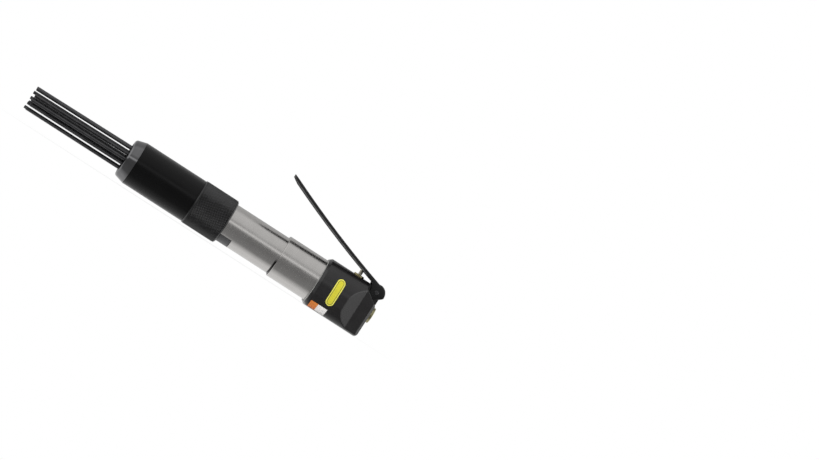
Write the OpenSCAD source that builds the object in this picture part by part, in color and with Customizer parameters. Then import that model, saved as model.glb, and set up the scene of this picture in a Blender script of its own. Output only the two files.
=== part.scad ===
// Needle scaler: a straight, air driven hammer with a lever throttle and nineteen loose needles.
// Millimetres. The origin is the centre of the air inlet's mouth, on the tool's axis.
// X runs along the axis with the needles towards -X, +Z is up through the lever, Y = 0 is the middle plane.

/* [Needles] */
// Diameter of one needle
needle_d = 3; // [2:0.1:3.4]
// Length of one needle, head included
needle_len = 180; // [140:1:200]
// Diameter of a needle's upset head
needle_head_d = 4.4; // [3.8:0.1:4.8]
// Thickness of a needle's head
needle_head_t = 2.5; // [1.5:0.1:3.5]
// Distance between the centres of neighbouring needles
needle_pitch = 6; // [5.8:0.1:7]
// How far one needle can slide in the holder
needle_play = 5.5; // [3:0.5:8]
// How far the needle bundle is turned about the axis, in degrees
bundle_turn = 5; // [0:1:15]
// Largest lean of a loose needle, in degrees
needle_lean = 0.12; // [0:0.02:0.3]
// How far the loose needles of the top row hang down at their tips, in degrees; lower rows hang less
needle_droop = 0.6; // [0:0.1:0.8]
// Thickness of the holder's web that the needles hang in
holder_web = 4; // [2.5:0.5:8]
// Radial slack of a needle in its hole
needle_slack = 0.2; // [0.15:0.05:0.4]

/* [Front sleeve] */
// Room between the needle bundle and its spring
bundle_gap = 0.9; // [0.5:0.1:2]
// Wire diameter of the needle spring
spring_wire = 2.2; // [1.2:0.1:2.6]
// Room between the spring and the sleeve's bore
spring_gap = 0.4; // [0.3:0.1:2]
// Turns of the needle spring
spring_turns = 10; // [6:1:14]
// Wall of the smooth front sleeve
sleeve_wall = 3.6; // [3:0.1:6]
// Wall of the threaded end of the sleeve, under the collar
spigot_wall = 2; // [1.2:0.1:2.6]
// Length of the smooth sleeve that shows
sleeve_len = 61.5; // [45:0.5:90]
// Length of the nose cone
nose_len = 9.5; // [6:0.5:16]
// How much the nose cone tapers, on the radius
nose_taper = 2.35; // [1:0.05:3]
// Room between the needle bundle and the nose opening
nose_gap = 1.2; // [0.8:0.1:1.6]
// Depth of the nose cone's thread in the sleeve
nose_thread = 3.4; // [2:0.2:8]

/* [Knurled collar] */
// Length of the knurled collar
collar_len = 34.7; // [30:0.1:45]
// Wall of the collar over its thread
collar_wall = 2.4; // [1.6:0.1:5]
// Thickness of the collar's lip behind the cylinder's flange
collar_lip = 2.5; // [1.5:0.1:4]
// Chamfer at the collar's ends
collar_chamfer = 1.2; // [0.5:0.1:1.4]
// Length of the cylinder's front flange
flange_len = 12.25; // [9:0.25:16]
// Step from the flange down to the cylinder
flange_step = 0.65; // [0.4:0.05:1.4]

/* [Lock key] */
// Length of the key along the axis
key_len = 11.1; // [6:0.1:18]
// Width of the key
key_w = 14; // [8:0.5:20]
// Depth of the key in the cylinder
key_depth = 3; // [2:0.1:4]
// Where the key sits, in degrees below the horizontal on the near side
key_angle = 61; // [0:1:90]
// Gap all round the key
key_gap = 0.3; // [0.1:0.05:0.6]

/* [Hammer] */
// Diameter of the piston
piston_d = 22; // [16:0.5:25]
// Length of the piston
piston_len = 44; // [30:1:48]
// Travel of the piston
piston_stroke = 30; // [16:1:34]
// Diameter of the anvil's shank
anvil_d = 15; // [10:0.5:18]
// Diameter of the anvil's flange
anvil_flange_d = 30; // [24:0.5:32]
// Thickness of the anvil's flange
anvil_flange_t = 4; // [3:0.25:6]
// Wall of the anvil's bushing
anvil_bush_wall = 6.4; // [2.5:0.1:8]
// Length of the anvil's bushing
anvil_bush_len = 27.5; // [16:0.5:32]
// Thickness of the seals' cord
seal_cord = 1.6; // [1.2:0.1:2]
// Radial running clearance of moving round parts
run_gap = 0.05; // [0.02:0.01:0.08]
// Length of the silver cylinder that shows
cylinder_show = 54.7; // [40:0.5:90]
// Diameter of one exhaust port
port_d = 4; // [2:0.5:6]
// Number of exhaust ports
port_count = 6; // [3:1:8]

/* [Exhaust sleeve] */
// Air gap between cylinder and exhaust sleeve
exhaust_gap = 0.7; // [0.4:0.05:1.5]
// Wall of the exhaust sleeve
exhaust_wall = 1.2; // [0.8:0.05:2]
// Length of the exhaust sleeve that shows
exhaust_show = 39.4; // [30:0.5:60]
// Chamfer on the sleeve's front edge
exhaust_chamfer = 0.6; // [0.2:0.05:0.7]
// Length of the sleeve's front lip
exhaust_lip = 3; // [2:0.5:5]
// Angle of the open exhaust slot below, in degrees
slot_angle = 120; // [60:5:160]

/* [Housing] */
// Length of the throttle housing
housing_len = 56; // [50:0.5:70]
// Wall of the housing round the exhaust sleeve
housing_wall = 3.35; // [2.8:0.05:6]
// Corner radius of the housing's lower half
belly_corner_r = 14; // [8:0.5:18]
// Length of the chamfered front lip
lip_len = 3; // [1:0.25:3.5]
// Height of the chamfered front lip
lip_h = 2.3; // [1:0.1:2.4]
// Size of the softened rear edges
rear_round = 3; // [1:0.25:5]
// Half width of the flat sided rear end
rear_half_w = 16; // [14:0.25:20]
// Length of the flat sided rear end
flat_len = 13.2; // [10:0.2:18]
// Length of the slanted facets ahead of it
slant_len = 11.6; // [6:0.2:16]
// Depth of the recess that takes the exhaust sleeve
recess_len = 4; // [2.5:0.5:8]
// Length of the cylinder's thread in the housing
cylinder_thread = 9.1; // [7:0.1:12]
// How far the cylinder's rear thread lies below its outside, on the radius
thread_step = 0.85; // [0.5:0.05:1.5]

/* [Valve] */
// Thickness of the valve seat block
valve_seat_t = 8; // [6:0.5:10]
// Thickness of the valve cap
valve_cap_t = 4.4; // [3:0.2:6]
// Diameter of the valve disc
valve_disc_d = 16; // [12:0.5:20]
// Thickness of the valve disc
valve_disc_t = 1.2; // [0.8:0.1:2]
// Travel of the valve disc
valve_travel = 0.6; // [0.3:0.1:1]
// Diameter of the valve's dowel pins
dowel_d = 2.5; // [1.5:0.5:3]

/* [Air inlet] */
// How far the inlet bushing stands proud of the housing
inlet_proud = 3.1; // [1:0.1:8]
// Outer diameter of the inlet bushing's collar
inlet_d = 14.9; // [13.6:0.1:18]
// Thread bore of the inlet, a quarter inch pipe thread's drill size
inlet_bore_d = 11.1; // [8:0.1:11.5]
// Depth of the inlet thread
inlet_bore_len = 13; // [10:0.5:16]
// Diameter of the inlet bushing's shank
inlet_shank_d = 13.5; // [13:0.1:14]
// Length of the shank in the housing
inlet_shank_len = 14; // [12:0.5:15]
// Diameter of the air passages
passage_d = 6; // [4:0.5:7]

/* [Throttle] */
// Wall between the valve's cavity and the throttle bore
throttle_wall = 3.7; // [2:0.1:5]
// Diameter of the throttle bore
throttle_bore_d = 10; // [9:0.1:11]
// Diameter of the throttle stem
stem_d = 3.4; // [2.5:0.1:4]
// How far the throttle bushing stands above the housing
bush_proud = 1.25; // [0.5:0.05:1.4]
// Height of the outlet passage above the axis
outlet_z = 10; // [8:0.5:12]
// Height of the throttle seat above the axis
seat_z = 2; // [1:0.5:4]
// Length of the closing plug
plug_len = 6.8; // [5:0.2:10]
// How far the plug lies below the belly's surface
plug_sink = 0.4; // [0.2:0.1:1.5]
// Wire diameter of the throttle spring
throttle_wire = 0.8; // [0.5:0.1:1]
// Turns of the throttle spring
throttle_turns = 7; // [4:1:9]

/* [Lever] */
// Distance of the lever's pivot from the housing's rear face
pivot_back = 5.1; // [4.6:0.1:8]
// Height of the lever's pivot above the axis
pivot_z = 19.4; // [18.4:0.1:22]
// Length of the lever ahead of its pivot
lever_reach = 116.5; // [80:0.5:130]
// Height of the lever's top above its pivot
lever_rise = 7.38; // [7.1:0.02:9]
// Slope of the lever at its pivot, rise over run
lever_slope = 0.291; // [0.28:0.005:0.36]
// How the slope grows with the square of the distance
lever_curve = 0.0006; // [0:0.0001:0.0012]
// Thickness of the lever's sheet
lever_sheet = 2; // [1.2:0.1:2.4]
// Depth of the lever's side flanges
lever_flange = 3.5; // [2.6:0.1:3.8]
// Radius of the lever's round rear end
lever_end_r = 8; // [7.6:0.1:9]
// Width of the lug that carries the lever
lug_w = 12; // [10:0.5:16]
// Radius of the lug round its pin
lug_r = 5; // [3.5:0.1:5.2]
// Gap between lug and lever
lug_gap = 0.3; // [0.2:0.05:0.8]
// Diameter of the lever's pin
pin_d = 4; // [2.5:0.1:5]
// Size of the relief notch at the lever's fold
notch_d = 2.6; // [1.5:0.1:3]

/* [Labels] */
// Thickness of the labels
label_t = 0.25; // [0.1:0.05:0.5]
// Distance of the pill shaped label's centre from the housing's front face
pill_inset = 18.7; // [17:0.5:24]
// Width of the pill shaped label
pill_w = 7.7; // [5:0.1:10]
// Height of the pill shaped label
pill_h = 26.4; // [14:0.2:30]
// Width of the orange part of the corner label
orange_w = 7.2; // [4:0.2:10]
// Width of the white part of the corner label
white_w = 9.4; // [5:0.1:14]
// Distance of the corner label's front end from the housing's front face
corner_inset = 4.4; // [4:0.1:9]
// Height of the corner label's upper edge, below the axis
corner_top = 16.8; // [12:0.1:18]

/* [Hidden] */
$fn = 64;
// Clearance of fixed round parts in their seats, and between faces that all but touch
fit = 0.05;
// Overrun of a cutting shape past the face that it cuts
cut = 1;
// Room behind the piston, and the width of the groove that a seal's cord lies in
cylinder_slack = 3.7;
groove_w = seal_cord + 0.3;
// Chamfer at the edges of small turned parts
edge = 0.5;
// Depth of the step that the inlet's strainer sits in, its width, and the strainer's thickness
screen_room = 1.4;
screen_step = 0.6;
screen_t = 0.8;
// Room round the needle holder in the sleeve
holder_slack = 0.4;
// Distance of the anvil's seal from the rear end of its bushing
anvil_seal_inset = 9;
// Room round the throttle valve's head, under its seat, and between the stem and its spring
valve_head_room = 0.9;
seat_gap = 0.15;
stem_spring_gap = 0.8;
// Length of the stem's tail below its head
tail_len = 2.8;
// Gap between the stem's round top and the lever's underside
stem_gap = 0.3;
// How far the seals of the throttle bushing and the plug lie from the housing's surface
bush_seal_depth = 5;
plug_seal_shift = 1;
// Hexagon socket in the plug, its radius and its depth
socket_r = 2.3;
socket_depth = 3;
// Width of the valve's flat lands, and room round the valve disc
valve_land = 4;
disc_room = 1;
// How deep the dowels run in the cylinder, which is also their distance from its thread
dowel_depth = 4;
// Radius of the air holes in the valve seat
air_hole_r = 1.2;
// Angle at which the lever's round rear end takes over from its top edge
lever_end_angle = 62;
// Rings in a turn of the needle spring's tube and of the throttle spring's, and sides of the tubes
NEEDLE_RINGS = 16;
THROTTLE_RINGS = 8;
SIDES = 6;

// Radii, from the needle bundle outwards
needle_r = needle_d / 2;
head_r = needle_head_d / 2;
bundle_r = 2 * needle_pitch + needle_r;
spring_in_r = bundle_r + bundle_gap;
sleeve_bore_r = spring_in_r + spring_wire + spring_gap;
sleeve_r = sleeve_bore_r + sleeve_wall;
spigot_r = sleeve_bore_r + spigot_wall;
collar_bore_r = spigot_r + fit;
collar_r = collar_bore_r + collar_wall;
nose_front_r = sleeve_r - nose_taper;
nose_open_r = bundle_r + nose_gap;
holder_r = sleeve_bore_r - holder_slack;
cylinder_r = spigot_r - flange_step;
thread_r = cylinder_r - thread_step;
exhaust_in_r = cylinder_r + exhaust_gap;
exhaust_r = exhaust_in_r + exhaust_wall;
housing_r = exhaust_r + fit + housing_wall;
piston_bore_r = piston_d / 2 + run_gap;
anvil_r = anvil_d / 2;
anvil_bush_r = anvil_r + run_gap + anvil_bush_wall;

// Stations along the axis, from the inlet's mouth forwards
x_rear = -inlet_proud;
x_front = x_rear - housing_len;
x_step = x_front - exhaust_show;
x_collar = x_step - cylinder_show;
x_collar_front = x_collar - collar_len;
x_sleeve_front = x_collar_front - sleeve_len;
x_nose = x_sleeve_front - nose_len;
x_flange = x_collar - collar_lip - fit;
x_joint = x_flange - flange_len;
x_cylinder_rear = x_front + cylinder_thread;
x_valve = x_cylinder_rear + valve_seat_t;
x_cavity = x_valve + valve_cap_t + 2 * fit;
x_throttle = x_cavity + throttle_wall + throttle_bore_d / 2;
x_anvil_face = x_joint - anvil_flange_t - fit;
x_anvil_tail = x_cylinder_rear - cylinder_slack - piston_len - piston_stroke - fit * 4;
x_piston_rear = x_cylinder_rear - cylinder_slack;
x_web_rear = x_anvil_face - needle_play - needle_head_t;
x_web = x_web_rear - holder_web;
x_bush_rear = x_joint + anvil_bush_len;
x_spring_seat = x_sleeve_front + nose_thread;
x_groove = x_bush_rear - anvil_seal_inset;

// The throttle and the lever, with heights above the axis
x_pivot = x_rear - pivot_back;
stem_reach = x_pivot - x_throttle;
bush_top = housing_r + bush_proud;
stem_r = stem_d / 2;
stem_top = pivot_z + lever_top(stem_reach) + stem_r
  - (lever_sheet + stem_r + stem_gap) * slant_at(stem_reach);
throttle_bush_r = throttle_bore_d / 2 - fit;
valve_head_r = throttle_bush_r - valve_head_room;
valve_seal_t = 1.2;
valve_head_t = 1.8;
seal_top = seat_z - seat_gap;
head_top = seal_top - valve_seal_t - fit;
head_base = head_top - valve_head_t;
stem_tail = head_base - tail_len;
plug_base = -housing_r + plug_sink;
plug_top = plug_base + plug_len;
bush_seal_z = housing_r - bush_seal_depth;
plug_seal_z = (plug_base + plug_top) / 2 + plug_seal_shift;
throttle_spring_r = stem_r + stem_spring_gap + throttle_wire / 2;
lever_in = lug_w / 2 + lug_gap;
lever_half = lever_in + lever_sheet;
pin_r = pin_d / 2;
notch_ahead = 4.2;
notch_drop = 0.3;
// Where the housing's sloping shoulders start ahead of the pivot and below it, and their drop at the rear
shoulder_ahead = 9.3;
shoulder_below = 0.8;
shoulder_drop = 11;
belly_half = housing_r - belly_corner_r;
corner_reach = belly_half * sqrt(2) + belly_corner_r;
// Corners of the lever's ear below and behind the pivot, as distances rearwards and upwards from it
EAR = [[7.8, -1.6], [5.3, -3.9], [0.1, -6.2]];
// Distance ahead of the pivot at which the ear runs into the lever's flange
ear_front = 8.8;

// Rows of the hexagonal needle bundle, from the top down
ROWS = [3, 4, 5, 4, 3];
ROW_START = [0, 3, 7, 12, 16];
NEEDLES = 19;

// Height of the lever's top above its pivot, at a distance d ahead of it
function lever_top(d) = lever_rise + lever_slope * d + lever_curve * d * d;
// Ratio of a height cut through the sheet to the sheet's own thickness, at a distance d
function slant_at(d) = sqrt(1 + pow(lever_slope + 2 * lever_curve * d, 2));
// Points of an arc from angle a to angle b
function arc(cx, cy, r, a, b, n = 8) =
  [for (i = [0:n]) [cx + r * cos(a + (b - a) * i / n), cy + r * sin(a + (b - a) * i / n)]];

// Row and place of needle n in the bundle, its centre, how far it hangs back, and its lean
function needle_row(n) = n < 3 ? 0 : n < 7 ? 1 : n < 12 ? 2 : n < 16 ? 3 : 4;
function needle_y(n) = (n - ROW_START[needle_row(n)] - (ROWS[needle_row(n)] - 1) / 2) * needle_pitch;
function needle_z(n) = (2 - needle_row(n)) * needle_pitch * sqrt(3) / 2;
function needle_back(n) = 2 * fit + needle_play * 0.4 * (1 - cos(137.5 * n + 40));
function lean_y(n) = needle_lean * sin(97 * n) - needle_droop * (6 - needle_row(n)) / 6;
function lean_z(n) = needle_lean * cos(151 * n);

// A shape turned about the tool's axis, from points given as [x, radius]
module turned(points) {
  rotate([0, 90, 0])
    rotate_extrude()
      polygon([for (p = points) [p[1], p[0]]]);
}

// A plain rod along the axis, from x = a to x = b
module rod(a, b, r) {
  translate([a, 0, 0])
    rotate([0, 90, 0])
      cylinder(h = b - a, r = r);
}

// A plain tube along the axis
module tube(a, b, r_out, r_in) {
  difference() {
    rod(a, b, r_out);
    rod(a - cut, b + cut, r_in);
  }
}

// A rod across the tool, along Y
module cross_rod(x, z, r, length) {
  translate([x, 0, z])
    rotate([90, 0, 0])
      cylinder(h = length, r = r, center = true);
}

// An upright rod in the throttle bore
module upright(z0, z1, r) {
  translate([x_throttle, 0, z0])
    cylinder(h = z1 - z0, r = r);
}

// An outline in X and Z, made as thick as w about the middle plane
module side_profile(points, w) {
  rotate([90, 0, 0])
    linear_extrude(height = w, center = true)
      polygon(points);
}

// An outline in Y and Z, drawn out along the axis
module section_run(a, b) {
  translate([a, 0, 0])
    rotate([90, 0, 90])
      linear_extrude(height = b - a)
        children();
}

// A seal ring about the axis at x, whose cord lies between two radii
module seal_ring(x, r_mid, cord) {
  translate([x, 0, 0])
    rotate([0, 90, 0])
      rotate_extrude()
        translate([r_mid, 0])
          circle(d = cord);
}

// A coil spring about Z from z = 0, as one unbroken tube
function coil_centre(k, r, rise, rings) =
  [r * cos(360 * k / rings), r * sin(360 * k / rings), rise * k / rings];
function coil_points(r, wire, rise, turns, rings) = [
  for (k = [0:turns * rings])
    for (j = [0:SIDES - 1])
      let (c = coil_centre(k, r, rise, rings), a = 360 * k / rings, b = 360 * j / SIDES, w = wire / 2)
        [c[0] + w * cos(b) * cos(a), c[1] + w * cos(b) * sin(a), c[2] + w * sin(b)]];
function coil_gap(r, wire, rise, turns, rings) =
  min([for (k = [0:(turns - 1) * rings])
    norm(coil_centre(k, r, rise, rings) - coil_centre(k + rings, r, rise, rings))]) - wire;

module coil(r, wire, length, turns, rings) {
  rise = (length - wire) / turns;
  all_rings = turns * rings;
  echo(spring_gap_mm = coil_gap(r, wire, rise, turns, rings));
  around = [for (k = [0:all_rings - 1]) for (j = [0:SIDES - 1])
    let (p = k * SIDES + j, q = k * SIDES + (j + 1) % SIDES)
      each [[p, p + SIDES, q + SIDES], [p, q + SIDES, q]]];
  first = [for (j = [1:SIDES - 2]) [0, j, j + 1]];
  last = [for (j = [1:SIDES - 2]) [all_rings * SIDES, all_rings * SIDES + j + 1, all_rings * SIDES + j]];
  translate([0, 0, wire / 2])
    polyhedron(points = coil_points(r, wire, rise, turns, rings), faces = concat(around, first, last));
}

// The housing's section: round above, fuller below, grown by g all round
module housing_section(g = 0) {
  intersection() {
    circle(r = housing_r + g);
    translate([-housing_r - g, 0])
      square([2 * (housing_r + g), housing_r + g]);
  }
  translate([-housing_r - g, -belly_half])
    square([2 * (housing_r + g), belly_half]);
  translate([-belly_half, -housing_r - g])
    square([2 * belly_half, housing_r + g]);
  for (s = [-1, 1])
    translate([s * belly_half, -belly_half])
      circle(r = belly_corner_r + g);
}

// How the housing's ends are trimmed, as points [x, half width] for a body of half width r
function end_trim(r) = [
  [x_front, 0],
  [x_front, r - lip_h],
  [x_front + lip_len, r],
  [x_front + lip_len + 1, r + lip_h / lip_len],
  [x_rear - rear_round * 1.5, r + rear_round * 0.15],
  [x_rear - rear_round * 0.3, r - rear_round * 0.3],
  [x_rear, r - rear_round],
  [x_rear, 0]];

// The housing before it is bored: its upper half turned, its lower half squarer
module housing_blank() {
  trim = end_trim(housing_r);
  last = len(trim) - 1;
  below = [for (i = [last:-1:0]) [trim[i][0], -trim[i][1]]];
  plan = concat([for (i = [1:last - 1]) trim[i]], [for (i = [1:last - 1]) below[i]]);
  intersection() {
    section_run(x_front, x_rear)
      intersection() {
        housing_section();
        translate([-housing_r - cut, 0])
          square([2 * (housing_r + cut), housing_r + cut]);
      }
    turned(trim);
  }
  intersection() {
    section_run(x_front, x_rear)
      intersection() {
        housing_section();
        translate([-housing_r - cut, -housing_r - cut])
          square([2 * (housing_r + cut), housing_r + cut]);
      }
    side_profile(below, 3 * housing_r);
    linear_extrude(height = 3 * housing_r, center = true)
      polygon(plan);
    turned(end_trim(corner_reach));
  }
}

// The flat sides and slanted facets at the rear, as the part that is cut away on one side
module side_cut() {
  x_flat = x_rear - flat_len;
  x_slant = x_flat - slant_len;
  over = (housing_r - rear_half_w) / slant_len;
  linear_extrude(height = 3 * housing_r, center = true)
    polygon([
      [x_slant - cut / over, housing_r + cut],
      [x_flat, rear_half_w],
      [x_rear - rear_round * 0.8, rear_half_w],
      [x_rear + cut, rear_half_w - rear_round * 0.8 - cut],
      [x_rear + cut, housing_r + cut]]);
}

// The sloping shoulders beside the lug
module shoulder_cut() {
  side_profile([
    [x_pivot - shoulder_ahead, pivot_z + 2 * lug_r],
    [x_pivot - shoulder_ahead, pivot_z - shoulder_below],
    [x_rear, pivot_z - shoulder_drop],
    [x_rear + cut, pivot_z - shoulder_drop - cut * 0.7],
    [x_rear + cut, pivot_z + 2 * lug_r]], housing_r);
}

module throttle_housing() {
  color("#26241f")
    difference() {
      union() {
        difference() {
          housing_blank();
          for (s = [0, 1])
            mirror([0, s, 0])
              side_cut();
          for (s = [-1, 1])
            translate([0, s * (lug_w + housing_r) / 2, 0])
              shoulder_cut();
          side_profile([
            [x_pivot, pivot_z + lug_r],
            [x_rear + cut, pivot_z + lug_r],
            [x_rear + cut, pivot_z],
            [x_pivot, pivot_z]], lug_w + 2);
        }
        cross_rod(x_pivot, pivot_z, lug_r, lug_w);
      }
      rod(x_front - cut, x_cavity, thread_r + fit);
      rod(x_front - cut, x_front + recess_len, exhaust_r + fit);
      rod(x_rear - inlet_shank_len - fit, x_rear + cut, inlet_shank_d / 2 + fit);
      rod(x_throttle, x_rear - inlet_shank_len, passage_d / 2);
      translate([0, 0, outlet_z])
        rod(x_cavity - cut, x_throttle, passage_d / 2);
      upright(-housing_r - cut, housing_r + cut, throttle_bore_d / 2);
      cross_rod(x_pivot, pivot_z, pin_r + fit / 2, lug_w + cut);
    }
}

module inlet_bushing() {
  color("#6b6440")
    turned([
      [x_rear - inlet_shank_len, passage_d / 2],
      [x_rear - inlet_shank_len, inlet_shank_d / 2 - edge],
      [x_rear - inlet_shank_len + edge, inlet_shank_d / 2],
      [x_rear, inlet_shank_d / 2],
      [x_rear, inlet_d / 2],
      [-edge, inlet_d / 2],
      [0, inlet_d / 2 - edge],
      [0, inlet_bore_d / 2],
      [-inlet_bore_len, inlet_bore_d / 2],
      [-inlet_bore_len, inlet_bore_d / 2 - screen_step],
      [-inlet_bore_len - screen_room, inlet_bore_d / 2 - screen_step],
      [-inlet_bore_len - screen_room, passage_d / 2]]);
}

// A strainer disc with a ring of holes, seated at the bottom of the inlet thread
module inlet_screen() {
  hole_r = 0.55;
  ring_pitch = 1.6;
  color("silver")
    difference() {
      rod(-inlet_bore_len - screen_room, -inlet_bore_len - screen_room + screen_t,
        inlet_bore_d / 2 - screen_step - fit);
      for (ring = [0, 1, 2])
        for (i = [0:max(0, ring * 6 - 1)])
          rotate([360 * i / max(1, ring * 6), 0, 0])
            translate([0, 0, ring * ring_pitch])
              rod(-inlet_bore_len - screen_room - cut, -inlet_bore_len + cut, hole_r);
    }
}

// The groove for a seal ring round an upright part in the throttle bore
module seal_groove(z) {
  difference() {
    upright(z - groove_w / 2, z + groove_w / 2, throttle_bush_r + cut);
    upright(z - groove_w, z + groove_w, throttle_bush_r - seal_cord);
  }
}

module throttle_bushing() {
  gallery_top = outlet_z + passage_d / 2 + 2;
  color("#8a7a4a")
    difference() {
      upright(seat_z, bush_top, throttle_bush_r);
      upright(gallery_top, bush_top + cut, stem_r + run_gap);
      upright(seat_z - cut, gallery_top, throttle_bush_r - 2);
      translate([0, 0, outlet_z])
        rod(x_throttle - throttle_bore_d, x_throttle, passage_d / 2 - 0.3);
      seal_groove(bush_seal_z);
    }
}

// A seal ring round an upright part in the throttle bore
module upright_seal(z) {
  translate([x_throttle, 0, z])
    rotate_extrude()
      translate([throttle_bush_r - seal_cord / 2, 0])
        circle(d = seal_cord - fit);
}

module bushing_seal() {
  color("#1a1a1a")
    upright_seal(bush_seal_z);
}

module throttle_valve() {
  color("#b9bcc0")
    translate([x_throttle, 0, 0])
      rotate_extrude()
        polygon(concat(
          [[0, stem_tail], [stem_r - 0.3, stem_tail], [stem_r, stem_tail + 0.3], [stem_r, head_base],
            [valve_head_r, head_base], [valve_head_r, head_top], [stem_r, head_top]],
          arc(0, stem_top - stem_r, stem_r, 0, 90)));
}

module throttle_seal() {
  color("#1a1a1a")
    difference() {
      upright(head_top, seal_top, valve_head_r);
      upright(head_top - cut, seal_top + cut, stem_r + fit / 2);
    }
}

module throttle_spring() {
  color("#9a9da0")
    translate([x_throttle, 0, plug_top + fit])
      coil(throttle_spring_r, throttle_wire, head_base - plug_top - 2 * fit, throttle_turns, THROTTLE_RINGS);
}

module throttle_plug() {
  color("#8a7a4a")
    difference() {
      upright(plug_base, plug_top, throttle_bush_r);
      translate([x_throttle, 0, plug_base - cut])
        cylinder(h = socket_depth + cut, r = socket_r, $fn = 6);
      seal_groove(plug_seal_z);
    }
}

module plug_seal() {
  color("#1a1a1a")
    upright_seal(plug_seal_z);
}

// The lever's top edge in X and Z, from its tip to its round rear end
function lever_edge(drop, r_end) = concat(
  [for (i = [0:12])
    let (d = lever_reach * (1 - i / 12))
      [x_pivot - d, pivot_z + lever_top(d) - drop * slant_at(d)]],
  arc(x_pivot, pivot_z, r_end, lever_end_angle, 8));

// The lever: a bent strip with two side flanges that deepen into ears at the pivot
module throttle_lever() {
  low = lever_edge(lever_sheet, lever_end_r - lever_sheet);
  web = concat(lever_edge(0, lever_end_r), [for (i = [len(low) - 1:-1:0]) low[i]]);
  flange = concat(
    lever_edge(0, lever_end_r),
    [for (p = EAR) [x_pivot + p[0], pivot_z + p[1]]],
    [for (i = [0:12])
      let (d = ear_front + (lever_reach - ear_front) * i / 12)
        [x_pivot - d, pivot_z + lever_top(d) - lever_flange * slant_at(d)]]);
  tip_r = lever_half * 0.8;
  color("#101010")
    difference() {
      intersection() {
        union() {
          side_profile(web, 2 * lever_half);
          for (s = [-1, 1])
            translate([0, s * (lever_half - lever_sheet / 2), 0])
              side_profile(flange, lever_sheet);
        }
        linear_extrude(height = pivot_z + 2 * lever_reach)
          polygon(concat(
            [[x_pivot + 2 * lever_end_r, lever_half + cut], [x_pivot + 2 * lever_end_r, -lever_half - cut],
              [x_pivot - lever_reach + tip_r, -lever_half - cut]],
            [for (p = arc(x_pivot - lever_reach + tip_r, -lever_half + tip_r, tip_r, -90, -180)) p],
            [for (p = arc(x_pivot - lever_reach + tip_r, lever_half - tip_r, tip_r, 180, 90)) p],
            [[x_pivot - lever_reach + tip_r, lever_half + cut]]));
      }
      cross_rod(x_pivot, pivot_z, pin_r + run_gap, 2 * lever_half + cut);
      cross_rod(x_pivot - notch_ahead,
        pivot_z + lever_top(notch_ahead) - lever_sheet - notch_d / 2 - notch_drop,
        notch_d / 2, 2 * lever_half + cut);
    }
}

module lever_pin() {
  chamfer = 0.4;
  end = lever_half + lug_gap;
  color("#8d9094")
    translate([x_pivot, 0, pivot_z])
      rotate([90, 0, 0])
        rotate_extrude()
          polygon([[0, -end], [pin_r - chamfer, -end], [pin_r, chamfer - end],
            [pin_r, end - chamfer], [pin_r - chamfer, end], [0, end]]);
}

// Where the two dowels run, above and below the axis
module dowel_holes(r) {
  for (s = [-1, 1])
    translate([0, s * (thread_r - dowel_depth), 0])
      rod(x_cylinder_rear - dowel_depth, x_cavity - cut, r);
}

module valve_cap() {
  color("#9b9ea3")
    difference() {
      rod(x_valve + fit, x_cavity - fit, thread_r - fit);
      rod(x_valve - cut, x_cavity + cut, valve_disc_d / 2 - valve_land);
      dowel_holes(dowel_d / 2 + fit);
    }
}

module valve_disc() {
  color("#c9a24a")
    rod(x_valve - valve_disc_t - 2 * fit, x_valve - 2 * fit, valve_disc_d / 2);
}

module valve_seat() {
  color("#9b9ea3")
    difference() {
      rod(x_cylinder_rear + fit, x_valve, thread_r - fit);
      rod(x_valve - valve_disc_t - valve_travel - 4 * fit, x_valve + cut, valve_disc_d / 2 + disc_room);
      rod(x_cylinder_rear - cut, x_valve, valve_disc_d / 2 - valve_land);
      dowel_holes(dowel_d / 2 + fit);
      for (a = [60, 120, 240, 300])
        rotate([a, 0, 0])
          translate([0, valve_disc_d / 2 - edge, 0])
            rod(x_cylinder_rear - cut, x_valve - valve_disc_t - valve_travel, air_hole_r);
    }
}

module valve_dowels() {
  color("#c4c7ca")
    dowel_holes(dowel_d / 2);
}

// The key's outline seen from outside, as a block that reaches in from the cylinder's surface
module key_block(g) {
  rotate([key_angle, 0, 0])
    translate([x_collar + 0.4 - g, -cylinder_r - cut, -key_w / 2 - g])
      cube([key_len + 2 * g, key_depth + cut + (g > 0 ? fit : 0), key_w + 2 * g]);
}

module cylinder_body() {
  turned([
    [x_joint + fit, anvil_bush_r + fit],
    [x_joint + fit, spigot_r],
    [x_flange, spigot_r],
    [x_flange, cylinder_r],
    [x_step + exhaust_lip + 2, cylinder_r],
    [x_step + exhaust_lip + 2 + thread_step, thread_r],
    [x_cylinder_rear, thread_r],
    [x_cylinder_rear, piston_bore_r],
    [x_bush_rear + fit, piston_bore_r],
    [x_bush_rear + fit, anvil_bush_r + fit]]);
}

module cylinder_barrel() {
  color("#b5b3ae")
    difference() {
      cylinder_body();
      dowel_holes(dowel_d / 2 + fit);
      key_block(key_gap);
      for (i = [0:port_count - 1])
        rotate([360 * (i + 0.5) / port_count, 0, 0])
          translate([x_front - exhaust_show / 2, 0, 0])
            cylinder(h = cylinder_r + cut, d = port_d);
    }
}

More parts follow.
